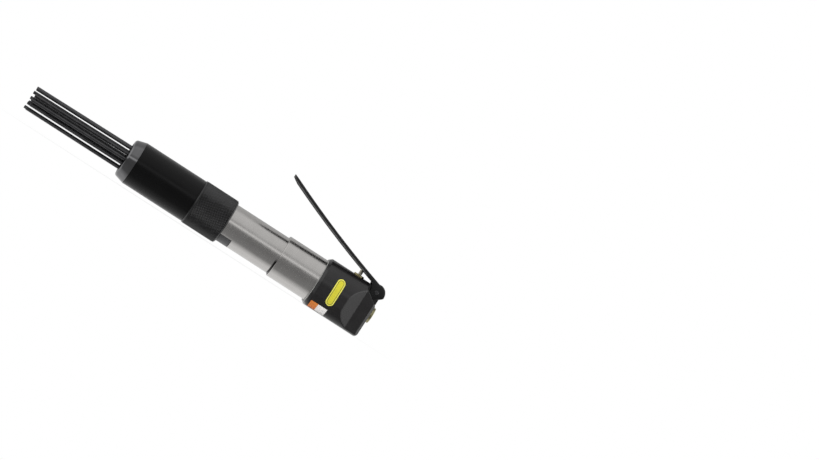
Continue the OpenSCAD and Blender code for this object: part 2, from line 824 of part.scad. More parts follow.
module exhaust_sleeve() {
  slot_side = 2 * exhaust_r * sin(slot_angle / 2);
  slot_low = 2 * exhaust_r * cos(slot_angle / 2);
  color("#b5b3ae")
    difference() {
      turned([
        [x_step, cylinder_r + fit],
        [x_step, exhaust_r - exhaust_chamfer],
        [x_step + exhaust_chamfer, exhaust_r],
        [x_front + recess_len - seal_cord, exhaust_r],
        [x_front + recess_len - seal_cord, exhaust_in_r],
        [x_step + exhaust_lip, exhaust_in_r],
        [x_step + exhaust_lip, cylinder_r + fit]]);
      intersection() {
        rod(x_step - cut, x_step + exhaust_lip + cut, exhaust_in_r);
        section_run(x_step - 2 * cut, x_step + exhaust_lip + 2 * cut)
          polygon([[0, 0], [slot_side, -slot_low], [slot_side, -2 * exhaust_r],
            [-slot_side, -2 * exhaust_r], [-slot_side, -slot_low]]);
      }
    }
}

module sleeve_seal() {
  color("#1a1a1a")
    seal_ring(x_front + recess_len - seal_cord / 2, exhaust_r - seal_cord / 2, seal_cord - fit);
}

module piston() {
  chamfer = 1;
  r = piston_d / 2;
  x0 = x_piston_rear - piston_len;
  groove = 3;
  color("#9a9ca0")
    turned([
      [x0, 0],
      [x0, r - chamfer],
      [x0 + chamfer, r],
      [x0 + piston_len * 0.4, r],
      [x0 + piston_len * 0.4, r - 1],
      [x0 + piston_len * 0.4 + groove, r - 1],
      [x0 + piston_len * 0.4 + groove, r],
      [x_piston_rear - chamfer, r],
      [x_piston_rear, r - chamfer],
      [x_piston_rear, 0]]);
}

module anvil_bushing() {
  color("#a88f55")
    turned([
      [x_joint + fit, anvil_r + run_gap],
      [x_joint + fit, anvil_bush_r],
      [x_bush_rear, anvil_bush_r],
      [x_bush_rear, anvil_r + run_gap],
      [x_groove + groove_w / 2, anvil_r + run_gap],
      [x_groove + groove_w / 2, anvil_r + run_gap + seal_cord],
      [x_groove - groove_w / 2, anvil_r + run_gap + seal_cord],
      [x_groove - groove_w / 2, anvil_r + run_gap]]);
}

module anvil_seal() {
  color("#1a1a1a")
    seal_ring(x_groove, anvil_r + run_gap + seal_cord / 2, seal_cord - fit);
}

module anvil() {
  chamfer = 0.8;
  flange_r = anvil_flange_d / 2;
  color("#8f9196")
    turned([
      [x_anvil_face, 0],
      [x_anvil_face, flange_r],
      [x_joint, flange_r],
      [x_joint, anvil_r],
      [x_anvil_tail - chamfer, anvil_r],
      [x_anvil_tail, anvil_r - chamfer],
      [x_anvil_tail, 0]]);
}

module lock_key() {
  color("#3a3a3a")
    intersection() {
      key_block(0);
      rod(x_collar - cut, x_collar + key_len + cut, cylinder_r);
    }
}

module knurled_collar() {
  color("#2b2b2b")
    turned([
      [x_collar_front, collar_bore_r],
      [x_collar_front, collar_r - collar_chamfer],
      [x_collar_front + collar_chamfer, collar_r],
      [x_collar - collar_chamfer, collar_r],
      [x_collar, collar_r - collar_chamfer],
      [x_collar, cylinder_r + fit],
      [x_collar - collar_lip, cylinder_r + fit],
      [x_collar - collar_lip, collar_bore_r]]);
}

module front_sleeve() {
  color("#141414")
    turned([
      [x_sleeve_front, sleeve_bore_r],
      [x_sleeve_front, sleeve_r],
      [x_collar_front - fit, sleeve_r],
      [x_collar_front - fit, spigot_r],
      [x_joint - fit, spigot_r],
      [x_joint - fit, sleeve_bore_r]]);
}

module nose_cone() {
  edge = 1.6;
  side_angle = 75;
  color("#4a4a4c")
    turned(concat(
      [[x_spring_seat, nose_open_r],
        [x_spring_seat, sleeve_bore_r - fit],
        [x_sleeve_front - fit, sleeve_bore_r - fit],
        [x_sleeve_front - fit, sleeve_r]],
      arc(x_nose + edge, nose_front_r - edge, edge, side_angle, 180),
      [[x_nose, nose_open_r + 0.5], [x_nose + 0.5, nose_open_r]]));
}

module needle_spring() {
  mean_r = spring_in_r + spring_wire / 2;
  color("#7d8084")
    translate([x_spring_seat + fit, 0, 0])
      rotate([0, 90, 0])
        coil(mean_r, spring_wire, x_web - x_spring_seat - 2 * fit, spring_turns, NEEDLE_RINGS);
}

// Places a shape that is drawn about the tool's axis at needle n's place in the bundle, shifted to x
module at_needle(n, x) {
  rotate([bundle_turn, 0, 0])
    translate([x, needle_y(n), needle_z(n)])
      children();
}

module needle_holder() {
  color("#55585c")
    difference() {
      rod(x_web, x_anvil_face - fit, holder_r);
      for (n = [0:NEEDLES - 1]) {
        at_needle(n, x_web - cut)
          rod(0, holder_web + 2 * cut, needle_r + needle_slack);
        at_needle(n, x_web_rear)
          rod(0, needle_play + needle_head_t + cut, head_r + needle_slack);
      }
    }
}

// Needle n, counted from zero, with its head's rear face hung back by its own amount
module needle(n) {
  tip = 0.4;
  color("#3c3d40")
    at_needle(n, x_web_rear + needle_head_t + needle_back(n))
      rotate([0, lean_y(n), lean_z(n)])
        turned([
          [-needle_len, 0],
          [-needle_len, needle_r - tip],
          [-needle_len + tip, needle_r],
          [-needle_head_t, needle_r],
          [-needle_head_t, head_r],
          [0, head_r],
          [0, 0]]);
}

// A thin skin over the housing's near side, as far as the outline drawn in X and Z reaches
module near_label() {
  intersection() {
    difference() {
      section_run(x_front + lip_len, x_rear)
        housing_section(label_t);
      section_run(x_front, x_rear + cut)
        housing_section();
    }
    rotate([90, 0, 0])
      linear_extrude(height = 2 * housing_r)
        children();
  }
}

module pill_label() {
  end_r = pill_w / 2;
  run = pill_h / 2 - end_r;
  color("#d8d22a")
    near_label()
      translate([x_front + pill_inset, 0])
        union() {
          square([pill_w, 2 * run], center = true);
          translate([0, run])
            circle(r = end_r);
          translate([0, -run])
            circle(r = end_r);
        }
}

// One part of the corner label, w wide, whose front end lies at an inset from the housing's front face
module corner_patch(inset, w) {
  near_label()
    translate([x_front + inset, -housing_r + plug_sink])
      square([w, housing_r - plug_sink - corner_top]);
}

module orange_label() {
  color("#d8803a")
    corner_patch(corner_inset, orange_w);
}

module white_label() {
  color("#e8e6e2")
    corner_patch(corner_inset + orange_w, white_w);
}

throttle_housing();
inlet_bushing();
inlet_screen();
throttle_bushing();
bushing_seal();
throttle_valve();
throttle_seal();
throttle_spring();
throttle_plug();
plug_seal();
throttle_lever();
lever_pin();
valve_cap();
valve_disc();
valve_seat();
valve_dowels();
cylinder_barrel();  // cylinder
exhaust_sleeve();
sleeve_seal();
piston();
anvil_bushing();
anvil_seal();
anvil();
lock_key();
knurled_collar();
front_sleeve();
nose_cone();
needle_spring();
needle_holder();
needle(0);  // needle_01
needle(1);  // needle_02
needle(2);  // needle_03
needle(3);  // needle_04
needle(4);  // needle_05
needle(5);  // needle_06
needle(6);  // needle_07
needle(7);  // needle_08
needle(8);  // needle_09
needle(9);  // needle_10
needle(10);  // needle_11
needle(11);  // needle_12
needle(12);  // needle_13
needle(13);  // needle_14
needle(14);  // needle_15
needle(15);  // needle_16
needle(16);  // needle_17
needle(17);  // needle_18
needle(18);  // needle_19
pill_label();
orange_label();
white_label();
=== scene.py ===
"""The looks of a hand held needle scaler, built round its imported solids.

Lengths in this script are millimetres until a mesh is made. The origin is the centre of the air inlet's
mouth, X runs rearwards along the tool, Z points from the belly to the lever, and -Y faces the camera.
"""

import logging
import math
from dataclasses import dataclass, replace
from enum import Enum

import bmesh
import bpy
import numpy as np
from mathutils import Matrix, Vector


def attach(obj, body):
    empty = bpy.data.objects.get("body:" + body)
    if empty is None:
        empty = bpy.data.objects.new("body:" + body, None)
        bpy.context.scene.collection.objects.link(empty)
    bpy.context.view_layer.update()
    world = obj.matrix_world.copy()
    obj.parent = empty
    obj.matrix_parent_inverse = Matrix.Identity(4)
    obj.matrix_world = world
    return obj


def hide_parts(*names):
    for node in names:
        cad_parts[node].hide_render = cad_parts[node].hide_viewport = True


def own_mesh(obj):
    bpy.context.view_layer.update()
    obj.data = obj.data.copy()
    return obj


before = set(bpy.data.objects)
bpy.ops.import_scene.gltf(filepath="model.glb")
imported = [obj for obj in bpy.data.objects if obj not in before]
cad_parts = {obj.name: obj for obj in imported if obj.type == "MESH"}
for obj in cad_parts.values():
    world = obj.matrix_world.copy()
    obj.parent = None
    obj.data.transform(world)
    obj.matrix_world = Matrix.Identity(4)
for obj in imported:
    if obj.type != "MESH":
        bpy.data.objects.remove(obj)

# A millimetre in metres, and the clearance between neighbouring surfaces in millimetres
MM = 0.001
GAP = 0.05
LOG = logging.getLogger("needle_scaler")

# Short names for the types that the hints use most
Piece = bpy.types.Object
Socket = bpy.types.NodeSocket
Number = Socket | float
Colour = Socket | tuple


def new_piece(name: str, points: np.ndarray, faces: list, sharp_deg: float = 35.0) -> Piece:
    """Puts points and faces into a mesh, merges its doubles and turns its faces outwards.

    Args:
        name: The piece's name.
        points: Its vertices in millimetres, as an array of shape (n, 3).
        faces: Its faces, each a list of vertex numbers.
        sharp_deg: Edges whose faces meet at more than this stay sharp, and 0 leaves every face flat.

    Returns:
        The new object, with its place in its mesh.
    """
    mesh = bpy.data.meshes.new(name)
    mesh.from_pydata((points * MM).tolist(), [], faces)
    work = bmesh.new()
    work.from_mesh(mesh)
    bmesh.ops.remove_doubles(work, verts=work.verts, dist=2e-7)
    bmesh.ops.recalc_face_normals(work, faces=work.faces)
    work.to_mesh(mesh)
    work.free()
    shade(mesh, sharp_deg)
    piece = bpy.data.objects.new(name, mesh)
    bpy.context.scene.collection.objects.link(piece)
    return piece


def shade(mesh: bpy.types.Mesh, sharp_deg: float) -> None:
    """Shades a mesh smooth, apart from its sharp edges.

    Args:
        mesh: The mesh.
        sharp_deg: The angle between faces, in degrees, past which an edge stays sharp, or 0 for flat faces.
    """
    mesh.polygons.foreach_set("use_smooth", np.full(len(mesh.polygons), sharp_deg > 0))
    if sharp_deg > 0:
        mesh.set_sharp_from_angle(angle=math.radians(sharp_deg))
    mesh.update()


def grid_faces(rows: int, cols: int, wrap_rows: bool, wrap_cols: bool) -> np.ndarray:
    """The quads of a grid whose vertex (i, j) has the number i * cols + j.

    Args:
        rows: Number of rows.
        cols: Number of columns.
        wrap_rows: Whether the last row joins the first.
        wrap_cols: Whether the last column joins the first.

    Returns:
        An array of shape (quads, 4).
    """
    i, j = np.meshgrid(np.arange(rows if wrap_rows else rows - 1), np.arange(cols if wrap_cols else cols - 1),
                       indexing="ij")
    up, right = (i + 1) % rows, (j + 1) % cols
    return np.stack([i * cols + j, i * cols + right, up * cols + right, up * cols + j], -1).reshape(-1, 4)


def soft_outline(corners: list, closed: bool = True, steps: int = 4, hold: float = 0.18) -> np.ndarray:
    """An outline whose corners are rounded, each with a quadratic curve from one side to the other.

    A curve leaves its corner's sides at the fillet's length, and its point at t is
    (1 - t)^2 start + 2 t (1 - t) corner + t^2 end. A point a short way past each end of a curve keeps the
    sides between the curves flat when they are shaded smooth.

    Args:
        corners: (along, out, fillet) in millimetres, where fillet is the length taken from each side.
        closed: Whether the last corner joins the first.
        steps: Number of straight steps in a curve.
        hold: Distance of the holding points from the ends of a curve.

    Returns:
        The outline's points, as an array of shape (n, 2).
    """
    at = np.array([c[:2] for c in corners], float)
    cuts = np.array([c[2] for c in corners], float)
    found = []
    t = np.linspace(0, 1, steps + 1)[:, None]
    for k, corner in enumerate(at):
        before, after = at[k - 1] - corner, at[(k + 1) % len(at)] - corner
        if cuts[k] <= 0 or (not closed and k in (0, len(at) - 1)):
            found.append(corner[None])
            continue
        reach_b, reach_a = np.linalg.norm(before), np.linalg.norm(after)
        cut_b, cut_a = min(cuts[k], 0.45 * reach_b), min(cuts[k], 0.45 * reach_a)
        start, end = corner + before / reach_b * cut_b, corner + after / reach_a * cut_a
        curve = (1 - t) ** 2 * start + 2 * t * (1 - t) * corner + t**2 * end
        lead = start + before / reach_b * min(hold, 0.04 * reach_b + 0.02)
        trail = end + after / reach_a * min(hold, 0.04 * reach_a + 0.02)
        found += [lead[None], curve, trail[None]]
    return np.concatenate(found)


def spread(outline: np.ndarray, cols: int) -> tuple:
    """The columns s and r of an outline, each repeated for every step round."""
    return np.repeat(outline[:, :1], cols, 1), np.repeat(outline[:, 1:], cols, 1)


def zigzag(n: np.ndarray) -> np.ndarray:
    """A wave of straight lines, 1 at whole numbers and 0 halfway between them."""
    return np.abs(n % 1 * 2 - 1)


def ringed(name: str, s: np.ndarray, r: np.ndarray, across: np.ndarray, up: np.ndarray,
           sharp_deg: float = 35.0) -> Piece:
    """A closed grid round the tool's axis, whose radius may differ from place to place.

    Args:
        name: The piece's name.
        s: Places along the tool, of shape (rows, cols).
        r: Distances from the axis, of the same shape.
        across: How far each column's direction points along Y.
        up: How far it points along Z.
        sharp_deg: As new_piece takes it.

    Returns:
        The piece.
    """
    points = np.stack([s, r * across, r * up], -1).reshape(-1, 3)
    return new_piece(name, points, grid_faces(*s.shape, True, True).tolist(), sharp_deg)


def turned(name: str, outline: np.ndarray, cols: int = 96, closed: bool = True,
           upright_at: float | None = None) -> Piece:
    """A turned surface: every outline point (s, r) is carried round the axis.

    About the tool's axis the point at angle a is (s, r cos a, r sin a). About the throttle's upright axis
    it is (x + r cos a, r sin a, s).

    Args:
        name: The piece's name.
        outline: Points (s, r), s along the axis.
        cols: Number of steps round.
        closed: Whether the outline is a loop, and not a line from pole to pole.
        upright_at: The upright axis's x, or None for the tool's own axis.

    Returns:
        The piece.
    """
    a = np.arange(cols) * 2 * math.pi / cols
    s, r = spread(outline, cols)
    u, v = r * np.cos(a), r * np.sin(a)
    points = np.stack([s, u, v], -1) if upright_at is None else np.stack([upright_at + u, v, s], -1)
    return new_piece(name, points.reshape(-1, 3), grid_faces(len(outline), cols, closed, True).tolist())


def soft_min(a: np.ndarray, b: np.ndarray, k: float = 0.3) -> np.ndarray:
    """The smaller of two fields, blended where they cross: -k log(exp(-a / k) + exp(-b / k))."""
    low = np.minimum(a, b)
    return low - k * np.log1p(np.exp(-np.minimum(np.abs(a - b), 40 * k) / k))


def soft_max(a: np.ndarray, b: np.ndarray, k: float = 0.3) -> np.ndarray:
    """The larger of two fields, blended where they cross."""
    return -soft_min(-a, -b, k)


def dress(piece: Piece, body: str, slot: str, material: bpy.types.Material, *nodes: str) -> Piece:
    """Gives a new piece its body and material, and lets it stand for CAD nodes.

    Args:
        piece: The new piece.
        body: The CAD body it moves with.
        slot: Not used.
        material: Its finish.
        nodes: The CAD nodes that it replaces.

    Returns:
        The same piece.
    """
    piece.data.materials.clear()
    piece.data.materials.append(material)
    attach(piece, body)
    if nodes:
        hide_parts(*nodes)
    LOG.info("%s: %d faces, on %s, in %s", piece.name, len(piece.data.polygons), body, material.name)
    return piece


def dress_node(node: str, material: bpy.types.Material) -> None:
    """Gives a CAD node that stays its finish.

    Args:
        node: The node's name.
        material: Its finish.
    """
    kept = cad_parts[node]
    kept.data.materials.clear()
    kept.data.materials.append(material)
    LOG.info("%s: the packed solid, in %s", node, material.name)


class Graph:
    """A node tree in the making."""

    def __init__(self, tree: bpy.types.NodeTree) -> None:
        """Takes the tree."""
        self.tree = tree

    def node(self, kind: str, feeds: dict | None = None, **props: object) -> bpy.types.Node:
        """Adds a node.

        Args:
            kind: The node's type.
            feeds: Values or sockets for its inputs, by name or number.
            props: Its own settings.

        Returns:
            The node.
        """
        made = self.tree.nodes.new(kind)
        for key, value in props.items():
            setattr(made, key, value)
        for key, value in (feeds or {}).items():
            if isinstance(value, Socket):
                self.tree.links.new(value, made.inputs[key])
            else:
                made.inputs[key].default_value = value
        return made

    def span(self, factor: Socket, low: float, high: float, start: float = 0.3, end: float = 0.7) -> Socket:
        """A number that goes from low to high as the factor goes from start to end."""
        feeds = {"Value": factor, "From Min": start, "From Max": end, "To Min": low, "To Max": high}
        return self.node("ShaderNodeMapRange", feeds).outputs[0]

    def sum(self, a: Number, b: Number, how: str = "ADD") -> Socket:
        """Two numbers put together, by adding unless how says otherwise."""
        return self.node("ShaderNodeMath", {0: a, 1: b}, operation=how).outputs[0]

    def times(self, a: Number, b: Number) -> Socket:
        """The product of two numbers."""
        return self.sum(a, b, "MULTIPLY")

    def blend(self, a: Number, share: float, b: Number) -> Socket:
        """A share of a number a, plus the rest of a number b."""
        return self.sum(self.times(a, share), self.times(b, 1 - share))

    def mix(self, factor: Socket, low: Colour, high: Colour) -> Socket:
        """A colour that is low where the factor is 0 and high where it is 1."""
        return self.node("ShaderNodeMixRGB", {0: factor, 1: low, 2: high}).outputs[0]

    def split(self, place: Socket) -> bpy.types.bpy_prop_collection:
        """The x, y and z of a place."""
        return self.node("ShaderNodeSeparateXYZ", {0: place}).outputs


class Shader(Graph):
    """A Principled material in the making, and the nodes that feed it."""

    def __init__(self, name: str, **plain: object) -> None:
        """Starts a material.

        Args:
            name: The material's name.
            plain: Values for the shader's own sockets, with underscores for spaces.
        """
        self.material = bpy.data.materials.new(name)
        self.material.use_nodes = True
        super().__init__(self.material.node_tree)
        self.surface = self.tree.nodes["Principled BSDF"]
        for key, value in plain.items():
            self.surface.inputs[key.replace("_", " ")].default_value = value
        self.place = self.node("ShaderNodeTexCoord").outputs["Object"]

    def stretched(self, x: float, y: float, z: float) -> Socket:
        """The place on the piece with its three axes scaled."""
        return self.node("ShaderNodeMapping", {"Vector": self.place, "Scale": (x, y, z)}).outputs[0]

    def noise(self, size_mm: float, detail: float = 2.0, place: Socket | None = None) -> Socket:
        """Noise whose lumps are about size_mm across."""
        feeds = {"Vector": place or self.place, "Scale": 1 / (size_mm * MM), "Detail": detail}
        return self.node("ShaderNodeTexNoise", feeds).outputs["Fac"]

    def ramp(self, factor: Socket, low: tuple, high: tuple, start: float = 0.3, end: float = 0.7) -> Socket:
        """A colour that goes from low to high as the factor goes from start to end.

        Args:
            factor: What the colour follows.
            low: The red, green and blue at the start.
            high: The red, green and blue at the end.
            start: The factor below which the colour is low.
            end: The factor above which it is high.

        Returns:
            The colour.
        """
        made = self.node("ShaderNodeValToRGB", {0: factor})
        stops = made.color_ramp.elements
        stops[0].position, stops[0].color = start, (*low, 1)
        stops[1].position, stops[1].color = end, (*high, 1)
        return made.outputs[0]

    def colour(self, source: Socket) -> None:
        """Feeds the base colour."""
        self.tree.links.new(source, self.surface.inputs["Base Color"])

    def roughness(self, source: Socket) -> None:
        """Feeds the roughness."""
        self.tree.links.new(source, self.surface.inputs["Roughness"])

    def bump(self, height: Socket, depth_mm: float) -> None:
        """Raises the surface by depth_mm where the height is 1."""
        made = self.node("ShaderNodeBump", {"Height": height, "Distance": depth_mm * MM, "Strength": 1.0})
        self.tree.links.new(made.outputs[0], self.surface.inputs["Normal"])


@dataclass(frozen=True)
class CoatedSteel:
    """A dark coat on steel: fine orange peel, cloudy gloss and a slightly paler tone in places."""

    name: str
    tone: tuple
    pale: tuple
    gloss: float
    peel_mm: float = 0.9
    peel_depth_mm: float = 0.006
    specular: float = 0.5
    worn_to_x: float | None = None
    haze: float = 0.0
    cloud_mm: float = 14.0
    bare_and_highlight: tuple = (0.3, 0.3, 0.29, 1)

    def make(self) -> bpy.types.Material:
        """Builds the material. Ahead of worn_to_x the coat is rubbed to bright metal, at an uneven edge.

        Returns:
            The material.
        """
        s = Shader(self.name, Specular_IOR_Level=self.specular, Sheen_Weight=self.haze, Sheen_Roughness=0.5)
        cloud, grain = s.noise(self.cloud_mm, 3), s.noise(self.peel_mm, 2)
        tone = s.ramp(cloud, self.tone, self.pale)
        if self.worn_to_x is not None:
            x = s.sum(s.split(s.place)[0], s.times(s.noise(1.5), 0.4 * MM))
            wear_and_highlight = s.span(x, 1.0, 0.0, (self.worn_to_x + 0.1) * MM, (self.worn_to_x + 0.3) * MM)
            tone = s.mix(wear_and_highlight, tone, self.bare_and_highlight)
        s.colour(tone)
        s.roughness(s.span(s.blend(cloud, 0.7, grain), self.gloss - 0.04, self.gloss + 0.05))
        s.bump(grain, self.peel_depth_mm)
        return s.material


@dataclass(frozen=True)
class GroundMetal:
    """Bare or plated metal with the fine rings that grinding or turning leaves round an axis."""

    name: str
    tone: tuple
    pale: tuple
    gloss: float
    ring_mm: float = 0.35
    depth_mm: float = 0.0025
    round_z: bool = False
    metallic: float = 1.0
    # Painted shade: where a dark band lies (from x, to x, below z); its colour is the last field of the four
    shade_band: tuple = ()
    cloud_mm: float = 9.0
    across: float = 0.01
    shade_tone: tuple = (0.035, 0.034, 0.034, 1)

    def make(self) -> bpy.types.Material:
        """Builds the material. The rings are noise stretched round the axis. A dark band of painted shade
        covers the metal from x = shade_band[0] to shade_band[1], below z = shade_band[2], at the step under a
        sleeve's lip.

        Returns:
            The material.
        """
        s = Shader(self.name, Metallic=self.metallic)
        thin = self.across
        place = s.stretched(thin, thin, 1) if self.round_z else s.stretched(1, thin, thin)
        rings, cloud = s.noise(self.ring_mm, 3, place), s.noise(self.cloud_mm, 3)
        tone = s.ramp(s.blend(rings, 0.35, cloud), self.tone, self.pale)
        # Painted shade: a dark band on the lower side, just ahead of a sleeve's lip
        if self.shade_band:
            x, _, z = s.split(s.place)
            start, end, top = (v * MM for v in self.shade_band)
            behind = s.span(x, 0.0, 1.0, start, start + 0.5 * MM)
            ahead = s.span(x, 1.0, 0.0, end, end + 0.1 * MM)
            low = s.span(z, 1.0, 0.0, top - 1.5 * MM, top + 1.5 * MM)
            tone = s.mix(s.times(s.times(behind, ahead), low), tone, self.shade_tone)
        s.colour(tone)
        s.roughness(s.span(s.blend(rings, 0.6, cloud), self.gloss - 0.04, self.gloss + 0.06))
        s.bump(rings, self.depth_mm)
        return s.material


@dataclass(frozen=True)
class DrawnWire:
    """Hard wire with the draw marks that run along it, darkened by oil and a little warm in places."""

    name: str
    tone: tuple
    pale: tuple
    gloss: float
    mark_mm: float = 0.9
    cloud_mm: float = 7.0
    along: float = 0.03
    depth_mm: float = 0.001

    def make(self) -> bpy.types.Material:
        """Builds the material. The marks are noise stretched along the tool.

        Returns:
            The material.
        """
        s = Shader(self.name, Metallic=1.0)
        marks, cloud = s.noise(self.mark_mm, 2, s.stretched(self.along, 1, 1)), s.noise(self.cloud_mm, 3)
        s.colour(s.ramp(s.blend(marks, 0.4, cloud), self.tone, self.pale))
        s.roughness(s.span(cloud, self.gloss - 0.05, self.gloss + 0.08))
        s.bump(marks, self.depth_mm)
        return s.material


@dataclass(frozen=True)
class KnurlOxide:
    """Black oxide on a knurl: nearly black in the grooves, rubbed paler towards the pyramids' tips."""

    name: str
    groove_r: float
    tip_r: float
    groove: tuple = (0.004, 0.004, 0.0042)
    tip: tuple = (0.058, 0.058, 0.06)
    cloud_mm: float = 9.0

    def make(self) -> bpy.types.Material:
        """Builds the material. The tone follows the distance from the tool's axis.

        Returns:
            The material.
        """
        s = Shader(self.name, Specular_IOR_Level=0.45)
        out = s.node("ShaderNodeVectorMath", {0: s.stretched(0, 1, 1)}, operation="LENGTH").outputs["Value"]
        height = s.span(out, 0.0, 1.0, (self.groove_r + 0.1) * MM, self.tip_r * MM)
        cloud = s.noise(self.cloud_mm, 3)
        uneven = s.sum(height, s.span(cloud, -0.12, 0.12))
        s.colour(s.ramp(uneven, self.groove, self.tip, 0.25, 1.0))
        s.roughness(s.span(cloud, 0.3, 0.4))
        s.bump(s.noise(0.4), 0.002)
        return s.material


@dataclass(frozen=True)
class EdgeHighlightPaint:
    """Gloss black paint on a bent strip, with pale steel grey painted along the lower edge of its flange: a
    painted highlight.
    """

    name: str
    pivot_x: float
    top: tuple
    highlight_below: float
    highlight_from: tuple = (14, 18)
    tone: tuple = (0.0022, 0.0022, 0.0024)
    pale: tuple = (0.0036, 0.0036, 0.0038)
    # The grey of the painted highlight along the flange's lower edge
    bare_and_highlight: tuple = (0.085, 0.085, 0.085, 1)
    cloud_mm: float = 14.0
    peel_mm: float = 0.7

    def make(self) -> bpy.types.Material:
        """Builds the material. With d = pivot_x - x, the flange's top edge is at
        z = top[0] + top[1] d + top[2] d^2. A pale grey is painted where the surface lies more than
        highlight_below
        below that edge: a painted highlight. It sets in as d goes from highlight_from[0] to
        highlight_from[1].

        Returns:
            The material.
        """
        s = Shader(self.name, Specular_IOR_Level=0.3)
        x, _, z = s.split(s.place)
        ahead = s.sum(self.pivot_x, s.times(x, 1 / MM), "SUBTRACT")
        rise = s.times(s.sum(s.times(ahead, self.top[2]), self.top[1]), ahead)
        below = s.sum(s.sum(rise, self.top[0]), s.times(z, 1 / MM), "SUBTRACT")
        uneven = s.sum(below, s.span(s.noise(5, 3), -0.25, 0.25))
        # Painted highlight: pale grey along the lower edge of the flange, from a little ahead of the pivot to
        # the tip
        edge = s.span(uneven, 0.0, 1.0, self.highlight_below - 0.2, self.highlight_below + 0.25)
        wear_and_highlight = s.times(edge, s.span(ahead, 0.0, 1.0, *self.highlight_from))
        cloud, grain = s.noise(self.cloud_mm, 3), s.noise(self.peel_mm, 2)
        s.colour(s.mix(wear_and_highlight, s.ramp(cloud, self.tone, self.pale), self.bare_and_highlight))
        s.roughness(s.span(cloud, 0.28, 0.37))
        s.bump(grain, 0.004)
        return s.material


@dataclass(frozen=True)
class MouldedRubber:
    """Matte black rubber with a faint skin texture."""

    name: str
    tone: tuple = (0.014, 0.014, 0.014)
    pale: tuple = (0.026, 0.026, 0.025)
    skin_mm: float = 0.3

    def make(self) -> bpy.types.Material:
        """Builds the material.

        Returns:
            The material.
        """
        s = Shader(self.name, Specular_IOR_Level=0.35)
        skin = s.noise(self.skin_mm, 3)
        s.colour(s.ramp(skin, self.tone, self.pale))
        s.roughness(s.span(skin, 0.62, 0.78))
        s.bump(skin, 0.01)
        return s.material


@dataclass(frozen=True)
class PlainFilm:
    """A printed film in one colour, with a slightly uneven gloss."""

    name: str
    tone: tuple
    pale: tuple

    def make(self) -> bpy.types.Material:
        """Builds the material.

        Returns:
            The material.
        """
        s = Shader(self.name)
        cloud = s.noise(2.5, 3)
        s.colour(s.ramp(cloud, self.tone, self.pale))
        s.roughness(s.span(cloud, 0.36, 0.46))
        s.bump(s.noise(1.2, 2), 0.001)
        return s.material


@dataclass(frozen=True)
class BorderedPillFilm:
    """The pill shaped film: a pale border, a dark line inside it and a plain field."""

    name: str
    centre_x: float
    half_w: float
    half_h: float
    border: float = 1.0
    line: float = 0.45
    pale: tuple = (0.74, 0.70, 0.10, 1)
    dark: tuple = (0.05, 0.045, 0.01, 1)
    plain: tuple = (0.60, 0.55, 0.025, 1)

    def make(self) -> bpy.types.Material:
        """Builds the material. The distance from the outline is half_w less the distance to the centre line,
        which is the square root of dx^2 + max(|z| - (half_h - half_w), 0)^2.

        Returns:
            The material.
        """
        s = Shader(self.name)
        x, _, z = s.split(s.place)
        dx = s.sum(x, -self.centre_x * MM)
        over = s.sum(s.sum(s.sum(z, 0.0, "ABSOLUTE"), -(self.half_h - self.half_w) * MM), 0.0, "MAXIMUM")
        away = s.sum(s.sum(s.times(dx, dx), s.times(over, over)), 0.5, "POWER")
        depth = s.sum(self.half_w, s.times(away, 1 / MM), "SUBTRACT")
        ramp = s.node("ShaderNodeValToRGB", {0: s.sum(depth, self.half_w, "DIVIDE")})
        stops = ramp.color_ramp.elements
        edge, inner = self.border / self.half_w, (self.border + self.line) / self.half_w
        stops[0].position, stops[0].color = edge - 0.02, self.pale
        stops[1].position, stops[1].color = edge + 0.02, self.dark
        for at, colour in ((inner - 0.02, self.dark), (inner + 0.02, self.plain)):
            stops.new(at).color = colour
        s.colour(ramp.outputs[0])
        s.roughness(s.span(s.noise(2.5, 3), 0.34, 0.44))
        return s.material


class NeedleRow(Enum):
    """The rows of the hexagonal bundle from the top down: the number of the first needle, and how many."""

    TOP = (0, 3)
    UPPER = (3, 4)
    MIDDLE = (7, 5)
    LOWER = (12, 4)
    BOTTOM = (16, 3)


